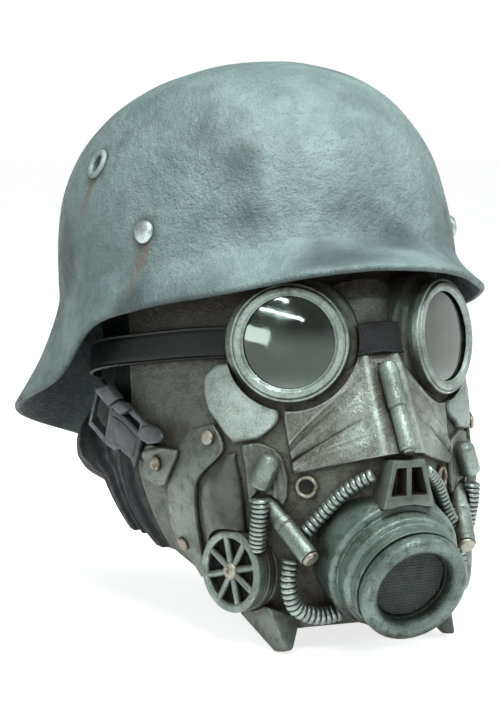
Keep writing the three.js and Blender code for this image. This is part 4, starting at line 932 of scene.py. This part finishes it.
def webbing_strap(x):
    path = np.array([(3.2, -17, 0), (3.05, -24, 0), (2.83, -37, 0), (2.61, -50, 0), (2.5, -57, 0)]) * (40, 1, 1)
    line, _ = curve_points(path, 50)
    u, z = line[:, 0] / 40, line[:, 1]
    around = unit(np.gradient(form(u, z), axis=0))
    e1 = unit(form_surface(u + 0.02, z) - form_surface(u - 0.02, z))
    e2 = np.cross(form_normal(u, z), e1)
    c, s = np.sum(around * e1, -1)[:, None], np.sum(around * e2, -1)[:, None]
    cross = stations(22, 0.6, 13)
    w = cross - 11
    pu, pz = form_shift(u[:, None] + 0 * w, z[:, None] + 0 * w, -w * s, w * c)
    f = rounding(cross, 22, 0.6)
    distance = np.concatenate([[0], np.cumsum(np.linalg.norm(np.diff(form(u, z), axis=0), axis=1))])
    uv = np.stack(np.broadcast_arrays(distance[:, None] * 0.001, cross * 0.001), -1)
    made = solid(f"strap_webbing_{NAMES[x]}", form(x * pu, pz, REST + 1.6 * f), form(x * pu, pz, REST),
                 webbing, uv=uv)
    show(made, "strap_rubber", f"webbing_{NAMES[x]}")


# Plates, rivets and buckle of one side
GUARD = [(-19, 1.62, 1.84), (-25, 1.5, 1.95), (-41, 1.2, 1.95), (-50, 1.13, 1.86), (-56, 1.2, 1.8), (-62, 1.38, 1.72)]
JAW = [(-50, 1.9, 2.16), (-57, 1.84, 2.27), (-66, 1.84, 2.33), (-76, 2.1, 2.42), (-84, 2.17, 2.46),
       (-105, 2.24, 2.53), (-127, 2.3, 2.44)]
REAR_ARM = [(-68, 2.5, 2.7), (-84, 2.52, 2.68), (-102, 2.5, 2.66), (-118, 2.44, 2.54)]
ANCHOR = [(-53, 2.5, 2.54), (-60, 2.26, 2.575), (-64, 2.28, 2.595), (-69, 2.34, 2.61), (-76, 2.42, 2.48)]
PANEL = [(-67, 1.7, 1.8), (-72, 1.7, 1.92), (-80, 1.68, 2.08), (-100, 1.67, 2.16), (-120, 1.7, 2.2)]
DUCT = [(-63.4, 1.42, 1.62), (-68, 1.24, 1.63), (-74, 1.17, 1.62), (-84, 1.15, 1.62), (-93, 1.18, 1.62),
        (-99, 1.24, 1.36)]
RIVETS = (("anchor_rivet", 2.45, -64, 5.6), ("upper_rivet", 1.96, -57, 3.4), ("lower_rivet", 2.44, -107, 3.4))


def point(u, z, lift, x):
    return form(np.array(u * x), np.array(float(z)), lift)


def plates(x):
    name = NAMES[x]
    soft = lambda u, z, s, t: 0.25 * np.sin(u * 13 + z * 0.35) * np.sin(z * 0.3)
    guard = form_plate(f"guard_pad_{name}", GUARD, x, guard_paint, 4, crown=1.5, edge=2.6, soft=True, relief=soft)
    tidy(guard)
    carve(guard, flange_tool[x])
    show(guard, "pewter", f"cheek_guard_{name}", keep_largest=True)
    rim = lambda u, z, s, t: 0.5 * np.exp(-((t - 0.05) / 0.03) ** 2) - 0.35 * np.exp(-((t - 0.12) / 0.02) ** 2)
    front = form_plate(f"jaw_arm_{name}", JAW, RIGHT, old_pewter, 2.6, crown=0.8, edge=0.9, soft=True, relief=rim)
    rear = form_plate("rear", REAR_ARM, RIGHT, old_pewter, 2.3, edge=0.7, across=10)
    tidy(front)
    tidy(rear)
    carve(front, rear, operation="UNION")
    bpy.data.objects.remove(rear)
    carve(front, filter_tool[RIGHT])
    if x == LEFT:
        mirror(front)
    show(front, "dark_pewter", f"jaw_plate_{name}")
    fold = lambda u, z, s, t: 1.5 * np.exp(-((s - 0.2) / 0.09) ** 4)
    show(form_plate(f"anchor_tab_{name}", ANCHOR, x, old_pewter, 5.4, low=3.55, edge=0.8, across=20, down=26, relief=fold),
         "pewter", f"anchor_plate_{name}")
    for rivet, u, z, under in RIVETS:
        centre, out = point(u, z, under + GAP, x), form_normal(np.array(u * x), np.array(float(z)))
        show(turned(f"{rivet}_head_{name}", [(0, 0), (4, 0), (4, 0.9), (3.6, 1.6), (2.4, 2.15), (0, 2.4)], centre,
                    out, copper, 48, 0.4), "rivet_metal", f"{rivet}_{name}", sharp=60)
    panel = form_plate(f"panel_pillow_{name}", PANEL, x, hollow_paint, 2.4, crown=4, edge=1.4, soft=True)
    tidy(panel)
    carve(panel, filter_tool[x])
    show(panel, "dark_pewter", f"cheek_panel_{name}", keep_largest=True)
    start, end = point(1.27, -71, 7, x), point(1.47, -86, 7.4, x)
    length = float(np.linalg.norm(end - start))
    flutes = lambda u, z, s, t: 0.22 * np.cos(u * 95)
    duct = form_plate(f"duct_cover_{name}", DUCT, x, old_pewter, 2.8, crown=0.8, edge=0.9, relief=flutes)
    knee = turned("knee", [(0, 0), (2, 0.2), (3.9, 1), (5.3, 2.5), (6, 4.5), (6, length - 1.6), (5.6, length - 1.2),
                           (5.6, length), (0, length)], start, end - start, pewter, 48, 0.4)
    tidy(duct)
    tidy(knee)
    carve(duct, knee, operation="UNION")
    bpy.data.objects.remove(knee)
    carve(duct, pipe_tool[x])
    show(duct, "dark_pewter", f"duct_panel_{name}", keep_largest=True)


BUCKLE = {"u": 2.74, "z": -42.0, "lift": 5, "turn": 35.5, "size": 40, "under": 2.1, "deck": 0.6, "bar": 0.2,
          "block": 3.2}
BUCKLE_FORM = {
    "plate": [(-0.42, 0.08), (-0.36, 0.16), (-0.04, 0.21), (0.43, 0.19), (0.53, 0.13), (0.52, -0.3), (0.36, -0.25),
              (0.02, -0.27), (-0.11, -0.36), (-0.36, -0.4)],
    "panel": [(-0.33, 0.07), (0, 0.12), (0.42, 0.1), (0.43, -0.18), (0.3, -0.19), (0, -0.2), (-0.14, -0.28),
              (-0.29, -0.3)],
    "loop": [(-0.96, 0.23), (-0.95, -0.38), (-0.36, -0.4), (-0.4, 0.23)],
    "window": [(-0.88, 0.16), (-0.46, 0.1), (-0.43, -0.31), (-0.87, -0.3)],
    "bar": [(0, 0.3), (0.4, 0.31), (0.4, 0.15), (0.46, 0.15), (0.5, 0.26), (1, 0.4), (0.98, 0.46), (0.46, 0.39),
            (0, 0.4)],
    "first": [(-0.93, 0.21), (-0.55, 0.46), (-0.2, 0.4), (-0.44, 0.16), (-0.75, 0.18)],
    "second": [(-0.385, 0.195), (-0.2, 0.37), (-0.01, 0.42), (0.12, 0.385), (-0.06, 0.21)],
    "clip": [(0.485, 0.215), (0.55, 0.35), (0.72, 0.46), (0.94, 0.52), (1.12, 0.475), (1.06, 0.36), (0.8, 0.2),
             (0.6, 0.17)],
}


def buckle(x):
    """Flat buckle: plate, wire loop and bar with raised blocks, and the block that lies on the bar."""
    name, u, z = NAMES[x], np.array(BUCKLE["u"]), np.array(BUCKLE["z"])
    out = form_normal(u, z)
    rear = unit(form_surface(u + 0.02, z) - form_surface(u - 0.02, z))
    up = np.cross(out, rear)
    c, s = math.cos(math.radians(BUCKLE["turn"])), math.sin(math.radians(BUCKLE["turn"]))
    flip = (x, 1, 1)
    place = [v * flip for v in (form(u, z, BUCKLE["lift"]), -rear * c - up * s, up * c - rear * s, out)]

    def part(outline, low, high, bevel):
        made = prism("tile", np.array(BUCKLE_FORM[outline]) * BUCKLE["size"], place, low, high, plastic)
        round_off(made, bevel)
        return made

    under, block = -BUCKLE["under"], BUCKLE["block"]
    body = part("plate", under, BUCKLE["deck"], 0.5)
    loop = part("loop", under, BUCKLE["bar"], 0.4)
    window = prism("tool", np.array(BUCKLE_FORM["window"]) * BUCKLE["size"], place, under - 1, 2, None)
    carve(loop, window)
    bpy.data.objects.remove(window)
    for other in (loop, part("bar", under, BUCKLE["bar"], 0.4), part("panel", 0, 1.1, 0.4),
                  part("first", under, block, 1.5), part("second", under, block, 1.4)):
        carve(body, other, operation="UNION")
        bpy.data.objects.remove(other)
    body.name = f"buckle_body_{name}"
    show(body, "buckle_plastic", f"buckle_{name}")
    clip = part("clip", BUCKLE["bar"] + GAP, block, 1.2)
    clip.name = f"buckle_loop_{name}"
    show(clip, "buckle_plastic", f"buckle_clip_{name}")


# Hoses, pipes and grommet of one side
def ribbed(name, points, x, radius, rib, ribs):
    line, _ = curve_points([mirrored(p, x) for p in points], ribs * 12 + 1)
    t = np.linspace(0, 1, len(line))
    radii = radius - rib * (1 - np.abs(np.sin(math.pi * ribs * t)) ** 0.55)
    made = tube(name, line, radii, hose_paint, 28)
    tidy(made)
    return made


def hoses(x):
    name = NAMES[x]
    side_points = [point(u, z, lift, RIGHT) * (-1, 1, 1) for u, z, lift in
                   ((1.45, -91, 9.2), (1.46, -97, 9.2), (1.48, -105, 9), (1.5, -116, 8.6))]
    made = ribbed(f"ribbed_side_{name}", side_points, x, 4.8, 1.2, 12)
    carve(made, filter_tool[x])
    carve(made, pipe_tool[x])
    show(made, "hose", f"side_hose_{name}", sharp=75, keep_largest=True)
    made = ribbed(f"ribbed_upper_{name}", [(46, -125, -116), (37, -133, -106), (27, -145, -95), (15.5, -156, -88.5)],
                  x, 4.0, 1.1, 16)
    carve(made, pipe_tool[x])
    show(made, "hose", f"upper_hose_{name}", sharp=75, keep_largest=True)
    made = ribbed(f"ribbed_lower_{name}", [(50, -118, -126), (51, -114, -140), (46, -110, -152), (34, -110, -157),
                                          (22, -112, -156)], x, 4.6, 1.25, 18)
    carve(made, pipe_tool[x])
    carve(made, muzzle_tool)
    show(made, "hose", f"lower_hose_{name}", sharp=75, keep_largest=True)
    start, end = mirrored(PIPE_START, x), mirrored(PIPE_END, x)
    length = float(np.linalg.norm(end - start))
    made = turned(f"junction_{name}", [
        (0, 0), (4.6, 0), (4.6, 14.6), (5.15, 14.9), (5.3, 15.3), (5.3, 18.6), (4.7, 19), (4.7, 19.7), (5.3, 20.1),
        (5.3, length - 2.4), (5.1, length - 2), (0, length - 2)], start, end - start, pewter, 64, 0.5)
    tidy(made)
    carve(made, seat)
    ring = turned("ring", [(4.72, 19.05), (5.25, 19.1), (5.3, 19.4), (5.25, 19.7), (4.72, 19.75), (4.72, 19.05)],
                  start, end - start, copper, 48, 0.1)
    tidy(made, 60, True)
    tidy(ring)
    show(merged(made, ring), "pewter", f"junction_pipe_{name}", sharp=60)
    show(turned(f"pipe_end_{name}", [(0, length - 1.65), (4.6, length - 1.65), (4.6, length - 0.5), (4.2, length),
                                     (3.4, length + 0.5), (0, length + 0.9)], start, end - start, copper, 48, 0.3),
         "rivet_metal", f"pipe_cap_{name}", sharp=60)
    out = form_normal(np.array(x * 0.98), np.array(-89.7))
    centre = mirrored((40.2, -126.6, -89.7), x)
    ring = turned(f"ring_grommet_{name}", [(3.9, 0), (6.4, 0), (6.4, 0.9), (5.9, 1.8), (5.1, 2.2), (4.4, 1.9),
                                           (3.9, 1.2), (3.9, 0)], centre, out, copper, 64, 0.4)
    # Painted shade: a black disc in the grommet's hole.
    hole = turned("hole", [(0, 0.1), (4, 0.1), (4, 0.5), (0, 0.35)], centre, out, painted_shade_black, 48, 0)
    tidy(hole)
    show(merged(ring, hole), "rivet_metal", f"grommet_{name}", sharp=70)


def canister(x):
    name, centre, axis = NAMES[x], mirrored(FILTER["centre"], x), unit(mirrored(FILTER["axis"], x))
    body = turned(f"canister_{name}", [
        (0, -8.35), (20, -8.35), (20, -34), (22.4, -34), (22.4, -14), (21.9, -13.6), (21.9, -12.6), (22.4, -12.2),
        (22.4, -8.6), (21.9, -8.1), (21.9, -7.4), (22.4, -7), (22.2, -5.95), (0, -5.95)], centre, axis, old_pewter, 96, 0.35)
    tidy(body)
    carve(body, seat)
    show(body, "dark_pewter", f"filter_body_{name}", sharp=60, keep_largest=True)
    centre, axis = mirrored(FILTER["centre"], RIGHT), unit(mirrored(FILTER["axis"], RIGHT))
    rim = turned("rim", [(17.5, -5.6), (22.2, -5.6), (22.4, -5.2), (22.4, -1.2), (21.8, -0.3), (20.6, 0), (18.8, 0),
                         (17.9, -0.5), (17.5, -1.4), (17.5, -5.6)], centre, axis, pewter, 96, 0.4)
    hub = turned("hub", [(0, -5.4), (4.8, -5.4), (4.8, -0.6), (4.3, 0.4), (2.6, 1.4), (0, 1.8)], centre, axis,
                 copper, 48, 0.4)
    across = unit(np.cross((0, 0, 1), axis))
    rise = np.cross(axis, across)
    spokes = []
    for k in range(8):
        a = 2 * math.pi * k / 8
        way = across * math.cos(a) + rise * math.sin(a)
        line = [centre + way * r - axis * 2.6 for r in np.linspace(3.6, 18.4, 9)]
        spokes.append(tube("spoke", line, [2.05] * 9, pewter, 20))
    # Painted shade: a black disc behind the spokes of the wheel.
    dark = turned("dark", [(0, -5.75), (18.6, -5.75), (18.6, -5.2), (0, -5.2)], centre, axis, painted_shade_black, 48, 0)
    for piece in (rim, hub, dark, *spokes):
        tidy(piece, 60)
    carve(rim, seat)
    wheel = merged(rim, hub, dark, *spokes)
    if x == LEFT:
        mirror(wheel)
    wheel.name = f"spoked_wheel_{name}"
    show(wheel, "pewter", f"filter_wheel_{name}", sharp=50)


# Folded cover over the nose
COVER = np.array([
    # row, height at the nose, height at the side edge, ease
    (0, 16, -30, 3), (1, 4, -38, 2.4), (2, -8, -48, 1.8), (3, -18, -58, 1.3), (4, -29, -69, 1),
    (5, -40, -72, 1), (6, -52, -75.5, 1), (7, -66, -79, 1), (8, -79, -82, 1),
], float)
RIDGE = np.array([(-80, 7.2), (-70, 5), (-55, 3.2), (-30, 3), (-25, 3.4), (-16, 4.3), (-7, 6.4), (4, 9), (14, 8)])
COVER_EDGE, COVER_LIFT, COVER_WALL = 1.08, 3.3, 2


def nose_cover():
    q = np.linspace(0, 8, 129)
    nose, edge, ease = along(COVER, q).T[:, :, None]
    s = np.concatenate([-stations(1, 0.02, 60)[::-1], stations(1, 0.02, 60)[1:]])[None, :]
    u = s * COVER_EDGE
    z = nose + (edge - nose) * np.abs(s) ** ease
    qq = q[:, None] + 0 * s
    top = np.interp(np.clip(z, -80, 14), RIDGE[:, 0], RIDGE[:, 1])
    lip = np.where(z < -24, 2.4 * np.exp(-((np.abs(u) - 0.2) / 0.08) ** 2), 0)
    away = smooth((np.abs(u) - 0.2) / 0.22)
    pleat = np.where(qq > 4, 2.6 * np.abs(np.sin(math.pi * (qq - 4) / 2)) ** 0.75 - 0.9, 0)
    crease = -0.9 * np.exp(-((qq - 3.9) / 0.09) ** 2)
    small = -0.7 * np.exp(-((qq - 7.1 + 0.5 * np.abs(s)) / 0.1) ** 2) * smooth((0.75 - np.abs(s)) / 0.3)
    ripple = 0.2 * np.sin(s * 11 + qq * 3) * np.sin(qq * 5)
    lift = COVER_LIFT + (top - COVER_LIFT) * (1 - smooth(np.abs(u) / 0.6)) + lip + away * (pleat + crease + small + ripple)
    border = np.minimum(rounding(q, 8, 0.12)[:, None], rounding(1 - np.abs(s) + 1e-9, 2, 0.03))
    u, z = np.broadcast_arrays(u, z)
    outer = np.maximum(lift - COVER_WALL * 0.6 * (1 - border), REST - COVER_WALL)
    made = solid("nose_folds", form(u, z, outer), form(u, z, np.maximum(lift - COVER_WALL, REST)), fold_paint)
    tidy(made)
    groove = cylinder(5.2 + GAP, -1, float(np.linalg.norm(NOSE_END - NOSE_TOP)) + 1, NOSE_TOP, NOSE_END - NOSE_TOP)
    carve(made, flange_tool[1], flange_tool[-1], groove)
    bpy.data.objects.remove(groove)
    show(made, "pewter", "snout_cover", keep_largest=True)


def nose_pipe():
    length = float(np.linalg.norm(NOSE_END - NOSE_TOP))
    show(turned("nose_tube", [
        (0, 0), (1.7, 0.2), (3.2, 0.9), (4.5, 2.2), (5.1, 3.9), (5.2, 5), (5.2, 26.4), (4.9, 26.9), (4.35, 27.1),
        (4.35, 27.6), (4.6, 27.9), (4.6, length - 2.4), (4.2, length - 1.7), (3.2, length - 1.6), (3.1, length - 0.2),
        (0, length)], NOSE_TOP, NOSE_END - NOSE_TOP, pewter, 64, 0.35), "pewter", "nose_pipe", sharp=60)


def vent_frame():
    lean = math.radians(14)
    top, down = np.array([0, -168, -83.5]), np.array([0, math.sin(lean), -math.cos(lean)])
    place = (top, np.array([1.0, 0, 0]), -down, np.cross((1, 0, 0), -down))
    made = prism("vent_grille", [(-15, -25), (15, -25), (9, 0), (-9, 0)], place, -16, 0, old_pewter)
    reach = lambda b: 9 + 6 * min(1, b / 25) - 2.8
    for s in (1, -1):
        tool = prism("tool", [(s * 1.5, -18.5), (s * reach(18.5), -18.5), (s * reach(4), -4), (s * 1.5, -4)], place,
                     -17, 1, None)
        carve(made, tool)
        bpy.data.objects.remove(tool)
    round_off(made, 0.7)
    carve(made, seat, muzzle_tool)
    show(made, "dark_pewter", "vent_frame", sharp=30, keep_largest=True)


# Muzzle
def muzzle():
    body = turned("muzzle_barrel", [
        (20.7, -5), (34.6, -5), (34.6, -50), (37.6, -50), (37.6, -2.2), (37, -0.8), (35.6, 0), (33.9, 0.3), (33.5, 0.8),
        (33.5, 7.6), (33, 8.9), (31.9, 9.7), (31.1, 10.4), (31, 11.4), (31, 17.65), (20.7, 17.65), (20.7, -5)],
        MUZZLE["centre"], muzzle_axis, satin, 128, 0.5)
    tidy(body)
    carve(body, seat)
    show(body, "pewter", "muzzle_body", sharp=60, keep_largest=True)
    show(turned("muzzle_rim", [
        (20.7, 18), (29.3, 18), (30.3, 19), (30.3, 22.6), (30.05, 24), (29.2, 25.3), (27.8, 26.2), (26.2, 26.5),
        (24.4, 26.2), (22.8, 25.2), (21.6, 23.6), (20.9, 21.6), (20.7, 19.6), (20.7, 18)],
        MUZZLE["centre"], muzzle_axis, satin, 128, 0.6), "pewter", "muzzle_ring", sharp=70)
    disc = turned("mesh_disc", [(0, 14), (20.35, 14), (20.35, 14.6), (12, 15.2), (0, 15.6)], MUZZLE["centre"],
                  muzzle_axis, inside, 64, 0)
    a, b = np.array([1.0, 0, 0]), np.cross(muzzle_axis, (1.0, 0, 0))
    wires = []
    pitch, reach = 1.25, 20.0
    for way, other, turn_over in ((a + b, a - b, 0), (a - b, a + b, 1)):
        way, other = unit(way), unit(other)
        for k in range(-15, 16):
            offset = k * pitch
            half = math.sqrt(max(0, reach ** 2 - offset ** 2))
            if half < 2:
                continue
            t = np.arange(-half, half + 0.3, pitch / 2)
            wave = 0.22 * np.sin(math.pi * t / pitch + math.pi * (k + turn_over))
            r2 = t ** 2 + offset ** 2
            height = 16.1 - 0.0012 * r2 + wave
            line = (np.array(MUZZLE["centre"]) + way * t[:, None] + other * offset + muzzle_axis * height[:, None])
            wires.append(tube("wire", line, [0.34] * len(t), gauze, 5))
    for piece in (disc, *wires):
        tidy(piece, 60)
    whole = merged(disc, *wires)
    whole.name = "mouth_mesh"
    show(whole, "gauze", "muzzle_gauze", sharp=80)


# Chin plate with its two feet
def chin():
    made = form_plate("chin_rest", [(-150, -1.3, 1.3), (-161, -1.25, 1.25)], 1, old_pewter, 3.6, edge=0.9, across=90, down=10)
    tidy(made)
    top = [(61, -66, -149), (56, -93, -148), (38, -97, -157), (42, -74, -155)]
    toe = [(54, -92, -173), (52, -101, -174), (46, -101, -173), (48, -93, -173)]
    for x in (RIGHT, LEFT):
        points = [mirrored(p, x) for p in top + toe]
        faces = [(0, 1, 2, 3), (7, 6, 5, 4)] + [(k, k + 4, (k + 1) % 4 + 4, (k + 1) % 4) for k in range(4)]
        foot = object_of("foot", points, faces, old_pewter)
        tidy(foot, 20)
        round_off(foot, 1.6, 4)
        carve(made, foot, operation="UNION")
        bpy.data.objects.remove(foot)
    carve(made, hem_seat, muzzle_tool, filter_tool[1], filter_tool[-1])
    show(made, "pewter", "chin_plate", sharp=30, keep_largest=True)


for x in (RIGHT, LEFT):
    goggles(x)
    plates(x)
    webbing_strap(x)
    buckle(x)
    hoses(x)
    canister(x)
goggle_strap()
bridge_strap()
nose_cover()
nose_pipe()
vent_frame()
muzzle()
chin()
for tool in (seat, hem_seat, muzzle_tool, *flange_tool.values(), *filter_tool.values(), *pipe_tool.values()):
    bpy.data.objects.remove(tool)


# Floor and light
def floor():
    f = Finish("pale_floor")
    colour = f.mix((0.86, 0.87, 0.87), (0.80, 0.81, 0.81), f.span(f.noise(3, 3), 0.3, 0.7))
    material = f.done(colour, 0.8)
    f.shader.inputs["Emission Color"].default_value = (1, 1, 1, 1)
    f.shader.inputs["Emission Strength"].default_value = 0.75
    size, level = 30.0, float(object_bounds()[0][2]) - 0.001
    mesh = bpy.data.meshes.new("floor")
    mesh.from_pydata([(-size, -size, level), (size, -size, level), (size, size, level), (-size, size, level)], [],
                     [(0, 1, 2, 3)])
    mesh.materials.append(material)
    made = bpy.data.objects.new("floor", mesh)
    bpy.context.scene.collection.objects.link(made)
    made.visible_diffuse = False
    made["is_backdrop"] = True


def world():
    made = bpy.data.worlds.new("studio")
    bpy.context.scene.world = made
    made.use_nodes = True
    nodes, links = made.node_tree.nodes, made.node_tree.links
    place = nodes.new("ShaderNodeTexCoord")
    parts = nodes.new("ShaderNodeSeparateXYZ")
    ramp = nodes.new("ShaderNodeValToRGB")
    links.new(place.outputs["Generated"], parts.inputs[0])
    half = nodes.new("ShaderNodeMath")
    half.operation = "MULTIPLY_ADD"
    half.inputs[1].default_value, half.inputs[2].default_value = 0.5, 0.5
    links.new(parts.outputs["Z"], half.inputs[0])
    links.new(half.outputs[0], ramp.inputs[0])
    stops = ((0.0, 0.04), (0.45, 0.08), (0.49, 1.0), (0.54, 1.0), (0.59, 0.18), (1.0, 0.32))
    ramp.color_ramp.elements[0].position, ramp.color_ramp.elements[1].position = stops[0][0], stops[-1][0]
    for position, _ in stops[1:-1]:
        ramp.color_ramp.elements.new(position)
    for element, (_, grey) in zip(ramp.color_ramp.elements, stops):
        element.color = (grey, grey, grey, 1)
    links.new(ramp.outputs[0], nodes["Background"].inputs[0])
    nodes["Background"].inputs[1].default_value = 1.0


def area(name, azimuth, elevation, distance, size, power, tall=None, spin=0.0):
    data = bpy.data.lights.new(name, "AREA")
    data.shape, data.size, data.size_y, data.energy = "RECTANGLE", size, tall or size, power
    data.color = (0.92, 1.0, 0.985)
    made = bpy.data.objects.new(name, data)
    bpy.context.scene.collection.objects.link(made)
    a, e = math.radians(azimuth), math.radians(elevation)
    way = Vector((-math.sin(a) * math.cos(e), -math.cos(a) * math.cos(e), math.sin(e)))
    made.location = AIM + way * distance
    made.rotation_mode = "QUATERNION"
    made.rotation_quaternion = way.to_track_quat("Z", "Y") @ Quaternion((0, 0, 1), math.radians(spin))


floor()
world()
area("key_light", 5, 66, 1.5, 0.7, 34)
area("front_light", 15, 35, 1.8, 0.3, 6)
area("side_light", 75, 25, 1.6, 0.35, 4, 0.9)
area("rim_light", -70, 30, 1.5, 0.35, 7, 0.9)
area("window_one", 42, 14.5, 1.5, 0.42, 0.8, 0.012, spin=-14)
area("window_two", 45, 19, 1.5, 0.30, 0.6, 0.012, spin=-10)
area("window_three", 57, 11, 1.5, 0.012, 0.3, 0.12, spin=6)
area("window_pane", 48, 8, 1.6, 0.22, 0.5, 0.12, spin=-14)
bpy.context.scene.view_settings.view_transform = "Standard"
